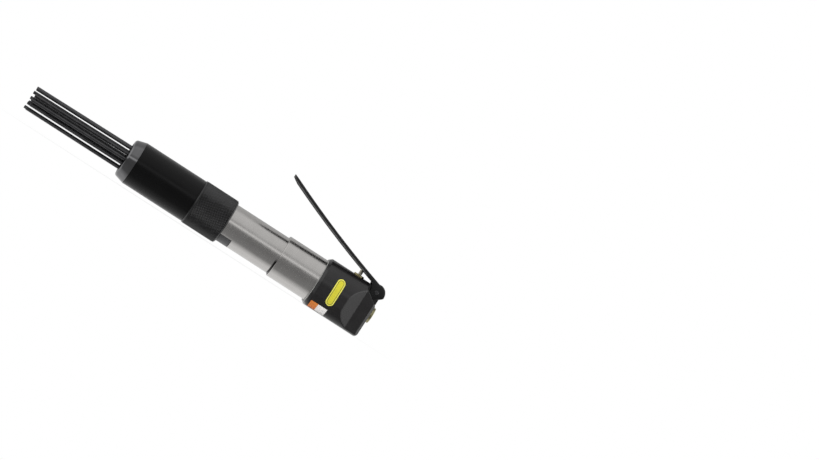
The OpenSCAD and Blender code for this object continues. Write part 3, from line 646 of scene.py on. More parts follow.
@dataclass
class NeedleBundle:
    """Nineteen loose needles, each hanging back and leaning by its own small amount."""

    needle_r: float = 1.5
    length: float = 180.0
    head_r: float = 2.2
    head_t: float = 2.5
    pitch: float = 6.0
    play: float = 5.5
    turn_deg: float = 5.0
    lean_deg: float = 0.12
    droop_deg: float = 0.6
    x_seat: float = -180.05
    back_deg: tuple = (137.5, 40)
    lean_steps_deg: tuple = (97, 151)

    def outline(self) -> np.ndarray:
        """A needle's outline from the pole of its tip to the pole of its head, with its head at s = 0.

        Returns:
            Points (s, r).
        """
        tip, r, head = -self.length, self.needle_r, self.head_r
        corners = [(tip, 0, 0), (tip, r, 0.55), (-self.head_t, r, 0.25), (-self.head_t, head, 0.3),
                   (0, head, 0.5), (0, 0, 0)]
        return soft_outline(corners, closed=False, steps=3)

    def place(self, number: int) -> Matrix:
        """Where needle number, counted from zero, stands in the bundle.

        How far it hangs back and which way it leans follow angles that grow by large steps from needle to
        needle, so that no pattern shows. The top row droops by droop_deg, and each row below it by less.

        Args:
            number: The needle.

        Returns:
            The matrix that puts a needle drawn about the tool's axis in its place, in millimetres.
        """
        row = next(r for r in NeedleRow if r.value[0] <= number < sum(r.value))
        y = (number - row.value[0] - (row.value[1] - 1) / 2) * self.pitch
        rank = list(NeedleRow).index(row)
        z = (2 - rank) * self.pitch * math.sqrt(3) / 2
        step, start = self.back_deg
        back = 0.1 + self.play * 0.4 * (1 - math.cos(math.radians(step * number + start)))
        droop = self.droop_deg * (6 - rank) / 6
        step_y, step_z = self.lean_steps_deg
        lean_y = math.radians(self.lean_deg * math.sin(math.radians(step_y * number)) - droop)
        lean_z = math.radians(self.lean_deg * math.cos(math.radians(step_z * number)))
        stand = Matrix.Translation((self.x_seat + self.head_t + back, y, z))
        turn = Matrix.Rotation(math.radians(self.turn_deg), 4, "X")
        return turn @ stand @ Matrix.Rotation(lean_z, 4, "Z") @ Matrix.Rotation(lean_y, 4, "Y")

    def build(self) -> None:
        """Makes all the needles."""
        outline = self.outline()
        finish = DrawnWire("dark_needle_wire", (0.055, 0.055, 0.058), (0.10, 0.099, 0.102), 0.36).make()
        for number in range(sum(row.value[1] for row in NeedleRow)):
            name = f"needle_{number + 1:02d}"
            piece = turned(f"{name}_wire", outline, 28, closed=False)
            place = self.place(number)
            place.translation *= MM
            piece.data.transform(place)
            dress(piece, f"loose_{name}", "needle_steel", finish, name)


def coil(name: str, mean_r: float, wire: float, start: float, end: float, turns: float,
         upright_at: float | None = None) -> Piece:
    """A coil spring of round wire, whose turns lie somewhat closer near both ends.

    The centre line's angle is a = 2 pi turns t, its radius mean_r, and its height goes from start to end
    with the share t - flattened / turns sin(2 pi t). The wire's section is a circle in the plane of the
    axis and the radius: the point at angle b is out by wire / 2 cos b and along by wire / 2 sin b.

    Args:
        name: The piece's name.
        mean_r: Radius of the centre line.
        wire: Diameter of the wire.
        start: One end of the spring along its axis.
        end: The other end.
        turns: Number of turns.
        upright_at: The x of an upright axis, or None for the tool's axis.

    Returns:
        The piece.
    """
    steps, sides, flattened = 30, 12, 0.35
    t = np.linspace(0, 1, int(turns * steps) + 1)[:, None]
    b = np.arange(sides)[None] * 2 * math.pi / sides
    share = t - flattened / turns * np.sin(2 * math.pi * t)
    along = start + wire / 2 + (end - start - wire) * share + wire / 2 * np.sin(b)
    out, a = mean_r + wire / 2 * np.cos(b), 2 * math.pi * turns * t
    u, v = out * np.cos(a), out * np.sin(a)
    points = np.stack([along + 0 * u, u, v] if upright_at is None else [upright_at + u, v, along + 0 * u], -1)
    rows, cols = points.shape[:2]
    ends = [list(range(cols)), list(range((rows - 1) * cols, rows * cols))]
    return new_piece(name, points.reshape(-1, 3), grid_faces(rows, cols, False, True).tolist() + ends)


@dataclass
class FrontSleeve:
    """The smooth sleeve with its nose cone, the needle spring and the needle holder."""

    x_joint: float = -168.0
    x_collar_front: float = -187.9
    x_sleeve_front: float = -249.4
    x_nose: float = -258.9
    x_spring_seat: float = -246.0
    bore_r: float = 17.0
    sleeve_r: float = 20.6
    spigot_r: float = 19.0
    nose_front_r: float = 18.25
    nose_open_r: float = 14.7
    spring_r: float = 15.5
    spring_turns: float = 10
    stroke_m: float = 0.005
    wire: float = 2.2
    x_web: float = -184.05
    cols: int = 180

    def build(self) -> None:
        """Makes the pieces and dresses them."""
        front, bore, sleeve_r = self.x_sleeve_front, self.bore_r, self.sleeve_r
        step, joint = self.x_collar_front - GAP, self.x_joint - GAP
        sleeve = [(front, bore, 0.2), (front, sleeve_r, 0.35), (step, sleeve_r, 0.5),
                  (step, self.spigot_r, 0.1), (joint, self.spigot_r, 0.4), (joint, bore, 0.3)]
        black = CoatedSteel("gloss_black_sleeve_coat", (0.0008, 0.0008, 0.0009), (0.0014, 0.0014, 0.0015),
                            0.25, peel_mm=0.7, peel_depth_mm=0.003, specular=0.15, haze=0.08).make()
        shell = turned("front_sleeve_shell", soft_outline(sleeve), self.cols)
        dress(shell, "tool_body", "gloss_black", black, "front_sleeve")
        tip, top, mouth, plug = self.x_nose, self.nose_front_r, self.nose_open_r, bore - GAP
        nose = [(self.x_spring_seat, mouth, 0.3), (self.x_spring_seat, plug, 0.3), (front - GAP, plug, 0.1),
                (front - GAP, sleeve_r - 0.02, 0.25), (tip + 1.2, top, 1.0), (tip, top - 1.3, 0.8),
                (tip, mouth + 0.5, 0.3), (tip + 0.5, mouth, 0.3)]
        steel = GroundMetal("polished_nose_steel", (0.125, 0.125, 0.129), (0.175, 0.175, 0.179), 0.07,
                            ring_mm=0.6, depth_mm=0.0003).make()
        cone = turned("nose_cone_turned", soft_outline(nose), self.cols)
        dress(cone, "tool_body", "dark_chrome", steel, "nose_cone")
        spring = coil("needle_spring_wire", self.spring_r, self.wire, self.x_spring_seat + GAP,
                      self.x_web - GAP, self.spring_turns)
        wire = GroundMetal("spring_wire", (0.24, 0.245, 0.26), (0.34, 0.34, 0.35), 0.36, ring_mm=0.4,
                           depth_mm=0.003).make()
        dress(spring, "tool_body", "spring_steel", wire, "needle_spring")
        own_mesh(spring)
        oxide = CoatedSteel("holder_black_oxide", (0.04, 0.04, 0.042), (0.06, 0.06, 0.062), 0.4).make()
        dress_node("needle_holder", oxide)


@dataclass
class KnurledCollar:
    """The knurled collar: small pyramids between two sets of crossing grooves."""

    x_front: float = -187.9
    x_rear: float = -153.2
    top_r: float = 21.45
    bore_r: float = 19.05
    lip_r: float = 18.4
    lip: float = 2.5
    chamfer: float = 1.2
    around: int = 66
    pitch_x: float = 2.04
    depth: float = 0.55
    margin: float = 0.25

    def build(self) -> None:
        """Makes the collar.

        With k steps of a quarter pitch round and m along, a = (k + m) / 4 and b = (k - m) / 4. A groove runs
        where a or b is whole, and the height over the grooves is depth * (1 - max(w(a), w(b))), where w is
        zigzag. Each square is split along its groove.
        """
        front, rear, top, bore, lip_r = self.x_front, self.x_rear, self.top_r, self.bore_r, self.lip_r
        start, end = front + self.chamfer + self.margin, rear - self.chamfer - self.margin
        low, edge = top - self.depth, top - self.chamfer
        rows = int(round((end - start) / (self.pitch_x / 4) / 4)) * 4
        cols = 4 * self.around
        m, k = np.meshgrid(np.arange(rows + 1), np.arange(cols), indexing="ij")
        height = np.minimum(1 - zigzag((k + m) / 4), 1 - zigzag((k - m) / 4)) * self.depth
        height[[0, -1]] = 0
        rest = [(end + 0.02, low + 0.1), (end + 0.25, top - 0.06), (end + 0.35, top - 0.12),
                (rear - 0.1, edge), (rear, edge - 0.15), (rear, lip_r + 0.3), (rear - 0.25, lip_r),
                (rear - self.lip, lip_r), (rear - self.lip, bore), (front + 0.3, bore), (front, bore + 0.25),
                (front, edge - 0.15), (front + 0.1, edge), (start - 0.35, top - 0.12),
                (start - 0.25, top - 0.06), (start - 0.02, low + 0.1)]
        rest_x, rest_r = spread(np.array(rest), cols)
        all_x = np.concatenate([start + (end - start) * m / rows, rest_x])
        all_r = np.concatenate([low + height, rest_r])
        angle = np.arange(cols) * 2 * math.pi / cols
        points = np.stack([all_x, all_r * np.cos(angle), all_r * np.sin(angle)], -1).reshape(-1, 3)
        quads = grid_faces(len(all_x), cols, True, True)
        row, col = quads[:, 0] // cols, quads[:, 0] % cols
        knurl = row < rows
        first = knurl & ((col + 1 + row) % 4 == 0)
        second = knurl & ((col - row) % 4 == 0)
        plain = quads[~(first | second)].tolist()
        cut_a = np.concatenate([quads[first][:, [0, 1, 3]], quads[first][:, [1, 2, 3]]]).tolist()
        cut_b = np.concatenate([quads[second][:, [0, 1, 2]], quads[second][:, [0, 2, 3]]]).tolist()
        piece = new_piece("knurled_collar_grip", points, plain + cut_a + cut_b, 22)
        coat = KnurlOxide("black_knurl_oxide", low, top).make()
        dress(piece, "collar", "black_knurl", coat, "knurled_collar")


@dataclass
class Barrel:
    """The cylinder, the exhaust sleeve round its rear part, and the key let into it."""

    x_joint: float = -168.0
    x_flange: float = -155.75
    x_bush: float = -140.45
    x_step: float = -98.5
    x_sleeve_rear: float = -56.7
    x_rear: float = -50.0
    cylinder_r: float = 18.35
    spigot_r: float = 19.0
    thread_r: float = 17.5
    bore_r: float = 11.05
    bush_r: float = 13.95
    sleeve_in_r: float = 19.05
    sleeve_r: float = 20.25
    key_from: float = -152.8
    key_len: float = 11.1
    key_w: float = 14.0
    key_deg: float = 61.0
    key_gap: float = 0.3
    key_chamfer: float = 0.22
    pocket_depth: float = 2.2
    exhaust_deg: float = 60.0

    def around(self, half_gap: float) -> np.ndarray:
        """Angles round the axis from -Y downwards, with pairs close together at the key pocket's two sides.

        Args:
            half_gap: The gap between the key and the pocket's side.

        Returns:
            The angles in radians, first over the pocket and then on round.
        """
        side = math.degrees(math.asin((self.key_w / 2 + half_gap) / self.cylinder_r))
        near, far, pair = self.key_deg - side, self.key_deg + side, 0.12
        pocket = np.linspace(near + pair, far - pair, 24)
        rest = np.linspace(far + pair, far + pair + 360 - 2 * side - 2 * pair, 180)
        return np.radians(np.concatenate([pocket, rest]))

    def cylinder(self) -> Piece:
        """The cylinder, whose radius drops by the pocket's depth inside the key's pocket.

        Returns:
            The piece.
        """
        joint, step, bush = self.x_joint + GAP, self.x_step, self.bush_r + GAP
        start, end = self.key_from, self.key_from + self.key_len + self.key_gap
        out, thread, bore = self.cylinder_r, self.thread_r, self.bore_r
        outline = soft_outline([
            (joint, bush, 0.2), (joint, self.spigot_r, 0.3), (self.x_flange, self.spigot_r, 0.2),
            (self.x_flange, out, 0.1), (start - 0.3, out, 0), (start - 0.28, out, 0), (end - 0.02, out, 0),
            (end + 0.02, out, 0), (step + 5.0, out, 0.2), (step + 5.85, thread, 0.2),
            (self.x_rear, thread, 0.4), (self.x_rear, bore, 0.4), (self.x_bush, bore, 0.2),
            (self.x_bush, bush, 0.2)])
        a = self.around(self.key_gap)
        s, r = spread(outline, len(a))
        side = math.asin((self.key_w / 2 + self.key_gap) / out)
        inside = (s > start - 0.29) & (s < end) & (r > out - 0.01)
        inside &= np.abs(a - math.radians(self.key_deg)) < side
        return ringed("cylinder_barrel", s, r - inside * self.pocket_depth, -np.cos(a), -np.sin(a))

    def sleeve(self) -> Piece:
        """The exhaust sleeve, whose front lip is cut back over the lower third, where the air leaves.

        Returns:
            The piece.
        """
        step, rear, bore, lip = self.x_step, self.x_sleeve_rear, self.sleeve_in_r, self.cylinder_r + GAP
        outline = soft_outline([(step, lip, 0.1), (step, self.sleeve_r, 0.75), (rear, self.sleeve_r, 0.3),
                                (rear, bore, 0.3), (step + 3, bore, 0.1), (step + 3, lip, 0.1)])
        half = self.exhaust_deg
        turns = [np.linspace(90 - half, 90 + half, 61), np.linspace(90 + half + 0.3, 450 - half - 0.3, 119)]
        a = np.radians(np.concatenate(turns))
        s, r = spread(outline, len(a))
        low = (np.abs(np.degrees(a) - 90) < half + 0.1) & (r < bore)
        return ringed("exhaust_sleeve_shell", s, np.where(low, bore, r), -np.cos(a), -np.sin(a))

    def key(self) -> Piece:
        """The key: a curved block with small chamfers, a grid of x and angle closed by its lower face.

        Returns:
            The piece.
        """
        half = math.degrees(math.asin(self.key_w / 2 / self.cylinder_r))
        across = np.concatenate([[-half], np.linspace(-half + 0.7, half - 0.7, 22), [half]])
        turns, cut = np.radians(self.key_deg + across), self.key_chamfer
        runs = self.key_from + np.array([0.0, cut, self.key_len - cut, self.key_len])
        rows, cols = len(runs), len(turns)
        drop = np.full((rows, cols), 0.02)
        drop[[0, -1]] = drop[:, [0, -1]] = cut + 0.02
        low = np.full((rows, cols), self.cylinder_r - self.pocket_depth)
        s = np.repeat(runs[:, None], cols, 1)
        layers = [np.stack([s, -r * np.cos(turns), -r * np.sin(turns)], -1).reshape(-1, 3)
                  for r in (self.cylinder_r - drop, low)]
        top = grid_faces(rows, cols, False, False)
        numbers = np.arange(rows * cols).reshape(rows, cols)
        rim = np.concatenate([numbers[0], numbers[1:, -1], numbers[-1, -2::-1], numbers[-2:0:-1, 0]])
        after = np.roll(rim, -1)
        wall = np.stack([rim, after, after + rows * cols, rim + rows * cols], -1)
        faces = np.concatenate([top, top + rows * cols, wall]).tolist()
        return new_piece("lock_key_block", np.concatenate(layers), faces, 25)

    def build(self) -> None:
        """Makes the pieces and dresses them, the inner ones too."""
        steel = GroundMetal("ground_cylinder_steel", (0.475, 0.462, 0.449), (0.528, 0.515, 0.502), 0.23,
                            ring_mm=0.6, depth_mm=0.0003)
        ground = steel.make()
        # The cylinder's steel gets a dark band on its lower side just ahead of the exhaust sleeve's lip:
        # painted shade
        step_shaded_steel = replace(steel, name="cylinder_steel_painted_shade", shade_band=(self.x_step - 2, self.x_step, -4.5)).make()
        dress(self.cylinder(), "tool_body", "satin_steel", step_shaded_steel, "cylinder")
        dress(self.sleeve(), "tool_body", "satin_steel", ground, "exhaust_sleeve")
        oxide = CoatedSteel("key_black_oxide", (0.035, 0.035, 0.037), (0.06, 0.06, 0.062), 0.36, peel_mm=0.5,
                            peel_depth_mm=0.004).make()
        dress(self.key(), "tool_body", "dark_key", oxide, "lock_key")
        bright = GroundMetal("ground_hammer_steel", (0.5, 0.5, 0.52), (0.62, 0.62, 0.64), 0.22, ring_mm=0.3,
                             depth_mm=0.002).make()
        bronze = GroundMetal("turned_bronze", (0.42, 0.29, 0.13), (0.55, 0.40, 0.2), 0.3, ring_mm=0.3,
                             depth_mm=0.003).make()
        rubber = MouldedRubber("seal_rubber").make()
        for node in ("piston", "anvil", "valve_cap", "valve_seat", "valve_dowels"):
            dress_node(node, bright)
        for node in ("anvil_bushing", "valve_disc"):
            dress_node(node, bronze)
        for node in ("sleeve_seal", "anvil_seal", "bushing_seal", "plug_seal", "throttle_seal"):
            dress_node(node, rubber)


@dataclass
class ThrottleHousing:
    """The black housing: round above, squarer below, with flat sides, slanted facets and the lever's lug."""

    x_front: float = -59.1
    x_rear: float = -3.1
    radius: float = 23.65
    corner_r: float = 14.0
    lip_len: float = 3.0
    lip_h: float = 2.3
    rear_round: float = 3.0
    rear_half_w: float = 16.0
    x_flat: float = -16.3
    slant: float = 0.6595
    x_draft: float = -5.5
    x_shoulder: float = -17.5
    shoulder_z: float = 18.6
    shoulder_slope: float = -0.708
    x_pivot: float = -8.2
    pivot_z: float = 19.4
    lug_r: float = 5.0
    lug_half: float = 6.0
    x_throttle: float = -28.8
    plug_r: float = 5.0
    plug_sunk: float = 0.9
    soft_side: float = 0.22
    soft_top: float = 0.15
    soft_cap: float = 0.1
    soft_lug: float = 0.2
    crowd: tuple = (0.24, 0.1)
    inlet_r: float = 6.8
    x_inlet: float = -17.15
    air_r: float = 3.0
    x_valve: float = -37.5
    thread_r: float = 17.55
    x_thread: float = -55.1
    seal_r: float = 20.3
    worn_to_x: float = -58.75
    cols: int = 440

    def stations(self) -> np.ndarray:
        """The rows' places along the tool, close together where the outline bends.

        Returns:
            The places in millimetres, from front to rear.
        """
        runs = [(self.x_front, self.x_front + 0.4, 4), (-58.5, -56.4, 6), (-56.2, -55.4, 5), (-54.8, -31, 24),
                (-30.6, self.x_shoulder - 0.32, 34), (self.x_shoulder + 0.4, -6.6, 27),
                (-6.3, self.x_rear - 0.02, 16)]
        edge = self.x_shoulder + np.array([-0.12, -0.03, 0.03, 0.12])
        return np.sort(np.concatenate([np.linspace(*run) for run in runs] + [edge]))

    def inset(self, x: np.ndarray) -> np.ndarray:
        """How far the outline draws in: a plain slope at the front lip and a quarter round at the rear.

        Args:
            x: Places along the tool.

        Returns:
            The insets: lip_h at the front, falling to 0 over lip_len, and r - sqrt(r^2 - d^2) in the round.
        """
        front = np.maximum(0, self.x_front + self.lip_len - x) * self.lip_h / self.lip_len
        near = np.clip((x - (self.x_rear - self.rear_round)) / self.rear_round, 0, 1)
        return front + self.rear_round * (1 - np.sqrt(1 - near**2))

    def reach(self, x: np.ndarray, y: np.ndarray, z: np.ndarray) -> np.ndarray:
        """The distance from the axis to the surface in the direction (y, z), at every station.

        It is the smallest of these, blended where they cross: the circle above or the rounded square
        below, both less the inset; the side plane, whose half width grows ahead of x_flat and shrinks
        behind x_draft; the shoulder plane or the lug's side, whichever is farther; and the cap plane. The
        lug's round top is added, and the plug's bore below is sunk by plug_sunk.

        Args:
            x: Stations, of shape (rows, 1).
            y: Direction across, of shape (1, cols).
            z: Direction upwards, of the same shape.

        Returns:
            The distances, of shape (rows, cols).
        """
        inset = self.inset(x)
        ay, az = np.maximum(np.abs(y), 1e-6), np.maximum(np.abs(z), 1e-6)
        half, rho, mid = self.radius - inset, self.corner_r - inset, self.radius - self.corner_r
        dot = mid * (ay + az)
        corner = dot + np.sqrt(np.maximum(dot**2 - 2 * mid**2 + rho**2, 0))
        straight = np.minimum(half / ay, half / az)
        flat = (half / ay * az <= mid) | (half / az * ay <= mid)
        below = np.where(flat, straight, corner)
        found = np.where(z >= 0, half, below)
        width = self.rear_half_w + np.maximum(0, self.x_flat - x) * self.slant
        width -= np.maximum(0, x - self.x_draft)
        found = soft_min(found, width / ay, self.soft_side)
        up = z > 0.05
        ridge = np.maximum((self.shoulder_z + self.shoulder_slope * (x - self.x_shoulder)) / az, 0)
        shoulder = soft_max(ridge, self.lug_half / ay, self.soft_top)
        found = np.where(up & (x > self.x_shoulder), soft_min(found, shoulder, self.soft_top), found)
        cap = soft_min(found, self.pivot_z / az, self.soft_cap)
        found = np.where(up & (x > self.x_pivot), cap, found)
        dx2 = np.maximum(self.lug_r**2 - (x - self.x_pivot) ** 2, 0)
        lug = soft_min((self.pivot_z + np.sqrt(dx2)) / az, self.lug_half / ay, self.soft_lug)
        found = np.where(up & (dx2 > 0), np.maximum(found, lug), found)
        near = np.hypot(x - self.x_throttle, found * ay)
        sink = np.clip((self.plug_r + 0.25 - near) / 0.3, 0, 1) * self.plug_sunk
        return np.where(z < -0.9, found - sink, found)

    def build(self) -> None:
        """Makes the housing's outside, its ends and its two bores as one closed grid.

        A column's angle is t + c sin(2 t). That crowds the columns towards the top, where c is crowd[0], and
        towards the belly, where it is crowd[1].
        """
        cols, front, rear = self.cols, self.x_front, self.x_rear
        above, below = self.crowd
        t = np.linspace(0, 2 * math.pi, cols, endpoint=False)
        angle = t + above * np.sin(2 * t) * (np.sin(t) > 0) + below * np.sin(2 * t) * (np.sin(t) <= 0)
        y, z = np.cos(angle)[None], np.sin(angle)[None]
        x = self.stations()[:, None]
        out = self.reach(x, y, z)
        bores = [(rear, self.inlet_r + 0.3), (rear - 0.3, self.inlet_r), (self.x_inlet, self.inlet_r),
                 (self.x_inlet, self.air_r), (self.x_valve, self.air_r), (self.x_valve, self.thread_r),
                 (self.x_thread, self.thread_r), (self.x_thread, self.seal_r), (front + 0.15, self.seal_r),
                 (front, self.seal_r + 0.15)]
        bore_x, bore_r = spread(np.array(bores), cols)
        along = np.concatenate([np.repeat(x, cols, 1), np.full((1, cols), rear), bore_x])
        far = np.concatenate([out, out[-1:] - 0.12, bore_r])
        piece = ringed("throttle_housing_body", along, far, y, z, 42)
        coat = CoatedSteel("satin_black_housing_coat", (0.0062, 0.0057, 0.0061), (0.0098, 0.009, 0.0096), 0.3,
                           peel_mm=0.8, peel_depth_mm=0.004, worn_to_x=self.worn_to_x).make()
        dress(piece, "tool_body", "black_housing", coat, "throttle_housing")


@dataclass
class Lever:
    """The throttle lever: a U section carried from its tip over the pivot and down round its rear end."""

    x_pivot: float = -8.2
    pivot_z: float = 19.4
    reach: float = 116.5
    rise: float = 7.38
    slope: float = 0.291
    curve: float = 0.0006
    sheet: float = 2.0
    flange: float = 3.5
    half: float = 8.3
    end_r: float = 8.0
    tip_r: float = 6.64
    bend_r: float = 2.0
    ear_front: float = 8.8
    ear_fall: tuple = (4.2, 12.6)
    ear_low: tuple = ((4.0, -6.0), (0.6, -6.25), (-0.9, -6.1), (-4.8, -4.2), (-5.7, -3.6), (-7.3, -2.2),
                      (-7.75, -1.5), (-7.9, -0.2), (-7.93, 0.7))
    tip_rows: tuple = (0, 0.15, 0.4, 0.9, 1.6, 2.4, 3.4, 4.6, 5.8, 6.64)
    run_rows: int = 26
    fold_r: float = 0.6
    hem: float = 0.3
    # Depth below the flange's top edge where the painted highlight starts
    highlight_below: float = 2.7
    pin_half: float = 8.6
    pin_r: float = 2.0

    def top(self, ahead: np.ndarray) -> np.ndarray:
        """Height of the top edge over the pivot: rise + slope d + curve d^2."""
        return self.rise + self.slope * ahead + self.curve * ahead**2

    def slant(self, ahead: np.ndarray) -> np.ndarray:
        """Vertical height of the sheet's thickness of one."""
        return np.sqrt(1 + (self.slope + 2 * self.curve * ahead) ** 2)

    def edges(self) -> tuple:
        """Top and bottom edges of the flange, row by row, as x ahead of the pivot and z above it.

        The rows go from the tip over the pivot and down round the rear end. The bottom edge is the flange's,
        then the ear's front edge, and then the ear's lower outline through the points of ear_low.

        Returns:
            The top edge and the bottom edge, each an array of shape (rows, 2).
        """
        run = np.concatenate([self.reach - np.array(self.tip_rows),
                              np.linspace(self.reach - 8, self.ear_front + 0.6, self.run_rows)])
        over_ear = np.linspace(self.ear_front, 0.2, 12)
        turn = np.radians(np.linspace(88, 8, 15))
        top_x = np.concatenate([run, over_ear, -self.end_r * np.cos(turn)])
        top_z = np.concatenate([self.top(run), self.top(over_ear), self.end_r * np.sin(turn)])
        fade = np.clip((self.reach - run) / self.tip_r, 0, 1)
        depth = self.sheet + (self.flange - self.sheet) * fade**0.6
        share = np.linspace(0, 1, len(over_ear))
        back, down = self.ear_fall
        ear_top = self.top(np.array(self.ear_front)) - self.flange * 1.05
        steps = np.linspace(0, len(self.ear_low) - 1, len(turn))
        low = [np.interp(steps, np.arange(len(self.ear_low)), part) for part in zip(*self.ear_low)]
        low_x = np.concatenate([run, self.ear_front - 0.4 - share * back, low[0]])
        low_z = np.concatenate([self.top(run) - depth * self.slant(run), ear_top - share * down, low[1]])
        return np.stack([top_x, top_z], 1), np.stack([low_x, low_z], 1)

    def pressing(self) -> Piece:
        """The lever itself.

        Every row is the strip's section there: (y, w), with w the depth below the top edge, once round the
        outside and back inside, and then mirrored. Quads close the first row and the last.

        Returns:
            The piece.
        """
        top, low = self.edges()
        rows, straight = len(top), len(self.tip_rows) + self.run_rows
        tip = np.clip(self.tip_r - (self.reach - top[:, 0]), 0, self.tip_r)
        half = (self.half - self.tip_r + np.sqrt(np.maximum(self.tip_r**2 - tip**2, 0.02)))[:, None]
        fall = np.linalg.norm(low - top, axis=1)[:, None]
        bent = np.linspace(1.05, 1.0, rows - straight)
        slant = np.concatenate([self.slant(top[:straight, 0]), bent])[:, None]
        t = self.sheet * np.minimum(slant, 1.06)
        q = np.linspace(math.pi / 2, 0, 6)[None]
        ro, ri, hem = np.minimum(self.bend_r, half * 0.6), self.fold_r, self.hem
        inside = np.maximum(half - self.sheet, 0.3)
        deep = np.maximum(fall, t + ri + 0.1)
        side_y = np.concatenate([half - ro + ro * np.cos(q), half, half, half - hem, half - self.sheet + hem,
                                 inside, inside - ri * (1 - np.sin(q))], 1)
        side_w = np.concatenate([ro - ro * np.sin(q), np.maximum(deep - 0.55, ro), deep - hem, deep, deep,
                                 deep - hem, t + ri * (1 - np.cos(q))], 1)
        side_y = np.maximum(side_y, 0.05)
        y = np.concatenate([side_y, -side_y[:, ::-1]], 1)
        w = np.concatenate([side_w, side_w[:, ::-1]], 1)
        way = (low - top) / fall
        x = self.x_pivot - (top[:, :1] + way[:, :1] * w)
        z = self.pivot_z + top[:, 1:] + way[:, 1:] * w
        cols = y.shape[1]
        faces = grid_faces(rows, cols, False, True).tolist()
        for row in (0, rows - 1):
            left = row * cols + np.arange(cols // 2 - 1)
            right = row * cols + cols - 1 - np.arange(cols // 2 - 1)
            faces += np.stack([left, left + 1, right - 1, right], -1).tolist()
        return new_piece("throttle_lever_pressing", np.stack([x, y, z], -1).reshape(-1, 3), faces, 35)

    def pin(self) -> Piece:
        """The pin across the ears.

        Returns:
            The piece.
        """
        cols, half, r = 40, self.pin_half, self.pin_r
        a = np.arange(cols) * math.pi / (cols / 2)
        outline = soft_outline([(-half, 0, 0), (-half, r, 0.45), (half, r, 0.45), (half, 0, 0)], closed=False)
        side, out = spread(outline, cols)
        points = np.stack([self.x_pivot + out * np.cos(a), side, self.pivot_z + out * np.sin(a)], -1)
        faces = grid_faces(len(outline), cols, False, True).tolist()
        return new_piece("lever_pin_turned", points.reshape(-1, 3), faces)

    def build(self) -> None:
        """Makes the lever and its pin and dresses them."""
        top = (self.pivot_z + self.rise, self.slope, self.curve)
        # The lever's paint has a painted highlight: pale grey along the lower edge of its flange
        coat = EdgeHighlightPaint("lever_paint_painted_highlight", self.x_pivot, top, self.highlight_below).make()
        dress(self.pressing(), "lever", "black_lever", coat, "throttle_lever")
        steel = GroundMetal("pin_steel", (0.06, 0.06, 0.062), (0.1, 0.1, 0.102), 0.28, ring_mm=0.3,
                            depth_mm=0.001).make()
        dress(self.pin(), "tool_body", "bright_steel", steel, "lever_pin")


@dataclass
class Throttle:
    """The throttle's stem, bushing, spring and plug in the upright bore."""

    x: float = -28.8
    bush_r: float = 4.95
    bush_top: float = 24.9
    seat_z: float = 2.0
    stem_r: float = 1.7
    stem_top: float = 30.53
    plug_top: float = -16.45
    guide_r: float = 2.95
    guide_z: float = 15.0
    groove_z: tuple = (17.7, 19.6)
    groove_depth: float = 1.55
    head_r: float = 4.05
    head_z: tuple = (-1.2, 0.6)
    foot_z: float = -4.0
    spring_r: float = 2.9
    spring_top: float = -1.25
    spring_turns: float = 7
    wire: float = 0.8
    travel: float = 5.6

    def build(self) -> None:
        """Makes the pieces and dresses them."""
        bronze = GroundMetal("turned_throttle_bronze", (0.22, 0.19, 0.09), (0.32, 0.28, 0.15), 0.32,
                             ring_mm=0.25, depth_mm=0.003, round_z=True).make()
        out, groove = self.bush_r, self.bush_r - self.groove_depth
        stem_r, hole = self.stem_r, self.stem_r + GAP
        low, high = self.groove_z
        bush = [(self.seat_z, self.guide_r, 0.1), (self.seat_z, out, 0.2), (low, out, 0.1),
                (low, groove, 0.1), (high, groove, 0.1), (high, out, 0.1), (self.bush_top, out, 0.6),
                (self.bush_top, hole, 0.35), (self.guide_z, hole, 0.1), (self.guide_z, self.guide_r, 0.1)]
        bushing = turned("throttle_bushing_turned", soft_outline(bush), 72, True, self.x)
        dress(bushing, "tool_body", "bush_bronze", bronze, "throttle_bushing")
        steel = GroundMetal("ground_stem_steel", (0.30, 0.28, 0.23), (0.42, 0.40, 0.33), 0.26, ring_mm=0.25,
                            depth_mm=0.002, round_z=True).make()
        foot, top, (low, high) = self.foot_z, self.stem_top, self.head_z
        stem = [(foot, 0, 0), (foot, stem_r, 0.3), (low, stem_r, 0.1), (low, self.head_r, 0.3),
                (high, self.head_r, 0.2), (high, stem_r, 0.1), (top - 0.5, stem_r, 1.0),
                (top, stem_r * 0.45, 0.6), (top, 0, 0)]
        valve = turned("throttle_stem_turned", soft_outline(stem, closed=False), 40, False, self.x)
        dress(valve, "throttle_stem", "bright_steel", steel, "throttle_valve")
        spring = coil("throttle_spring_wire", self.spring_r, self.wire, self.plug_top + GAP,
                      self.spring_top, self.spring_turns, self.x)
        wire = GroundMetal("fine_spring_wire", (0.26, 0.265, 0.28), (0.36, 0.36, 0.37), 0.34, ring_mm=0.4,
                           depth_mm=0.002).make()
        dress(spring, "tool_body", "spring_steel", wire, "throttle_spring")
        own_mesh(spring)
        dress_node("throttle_plug", bronze)


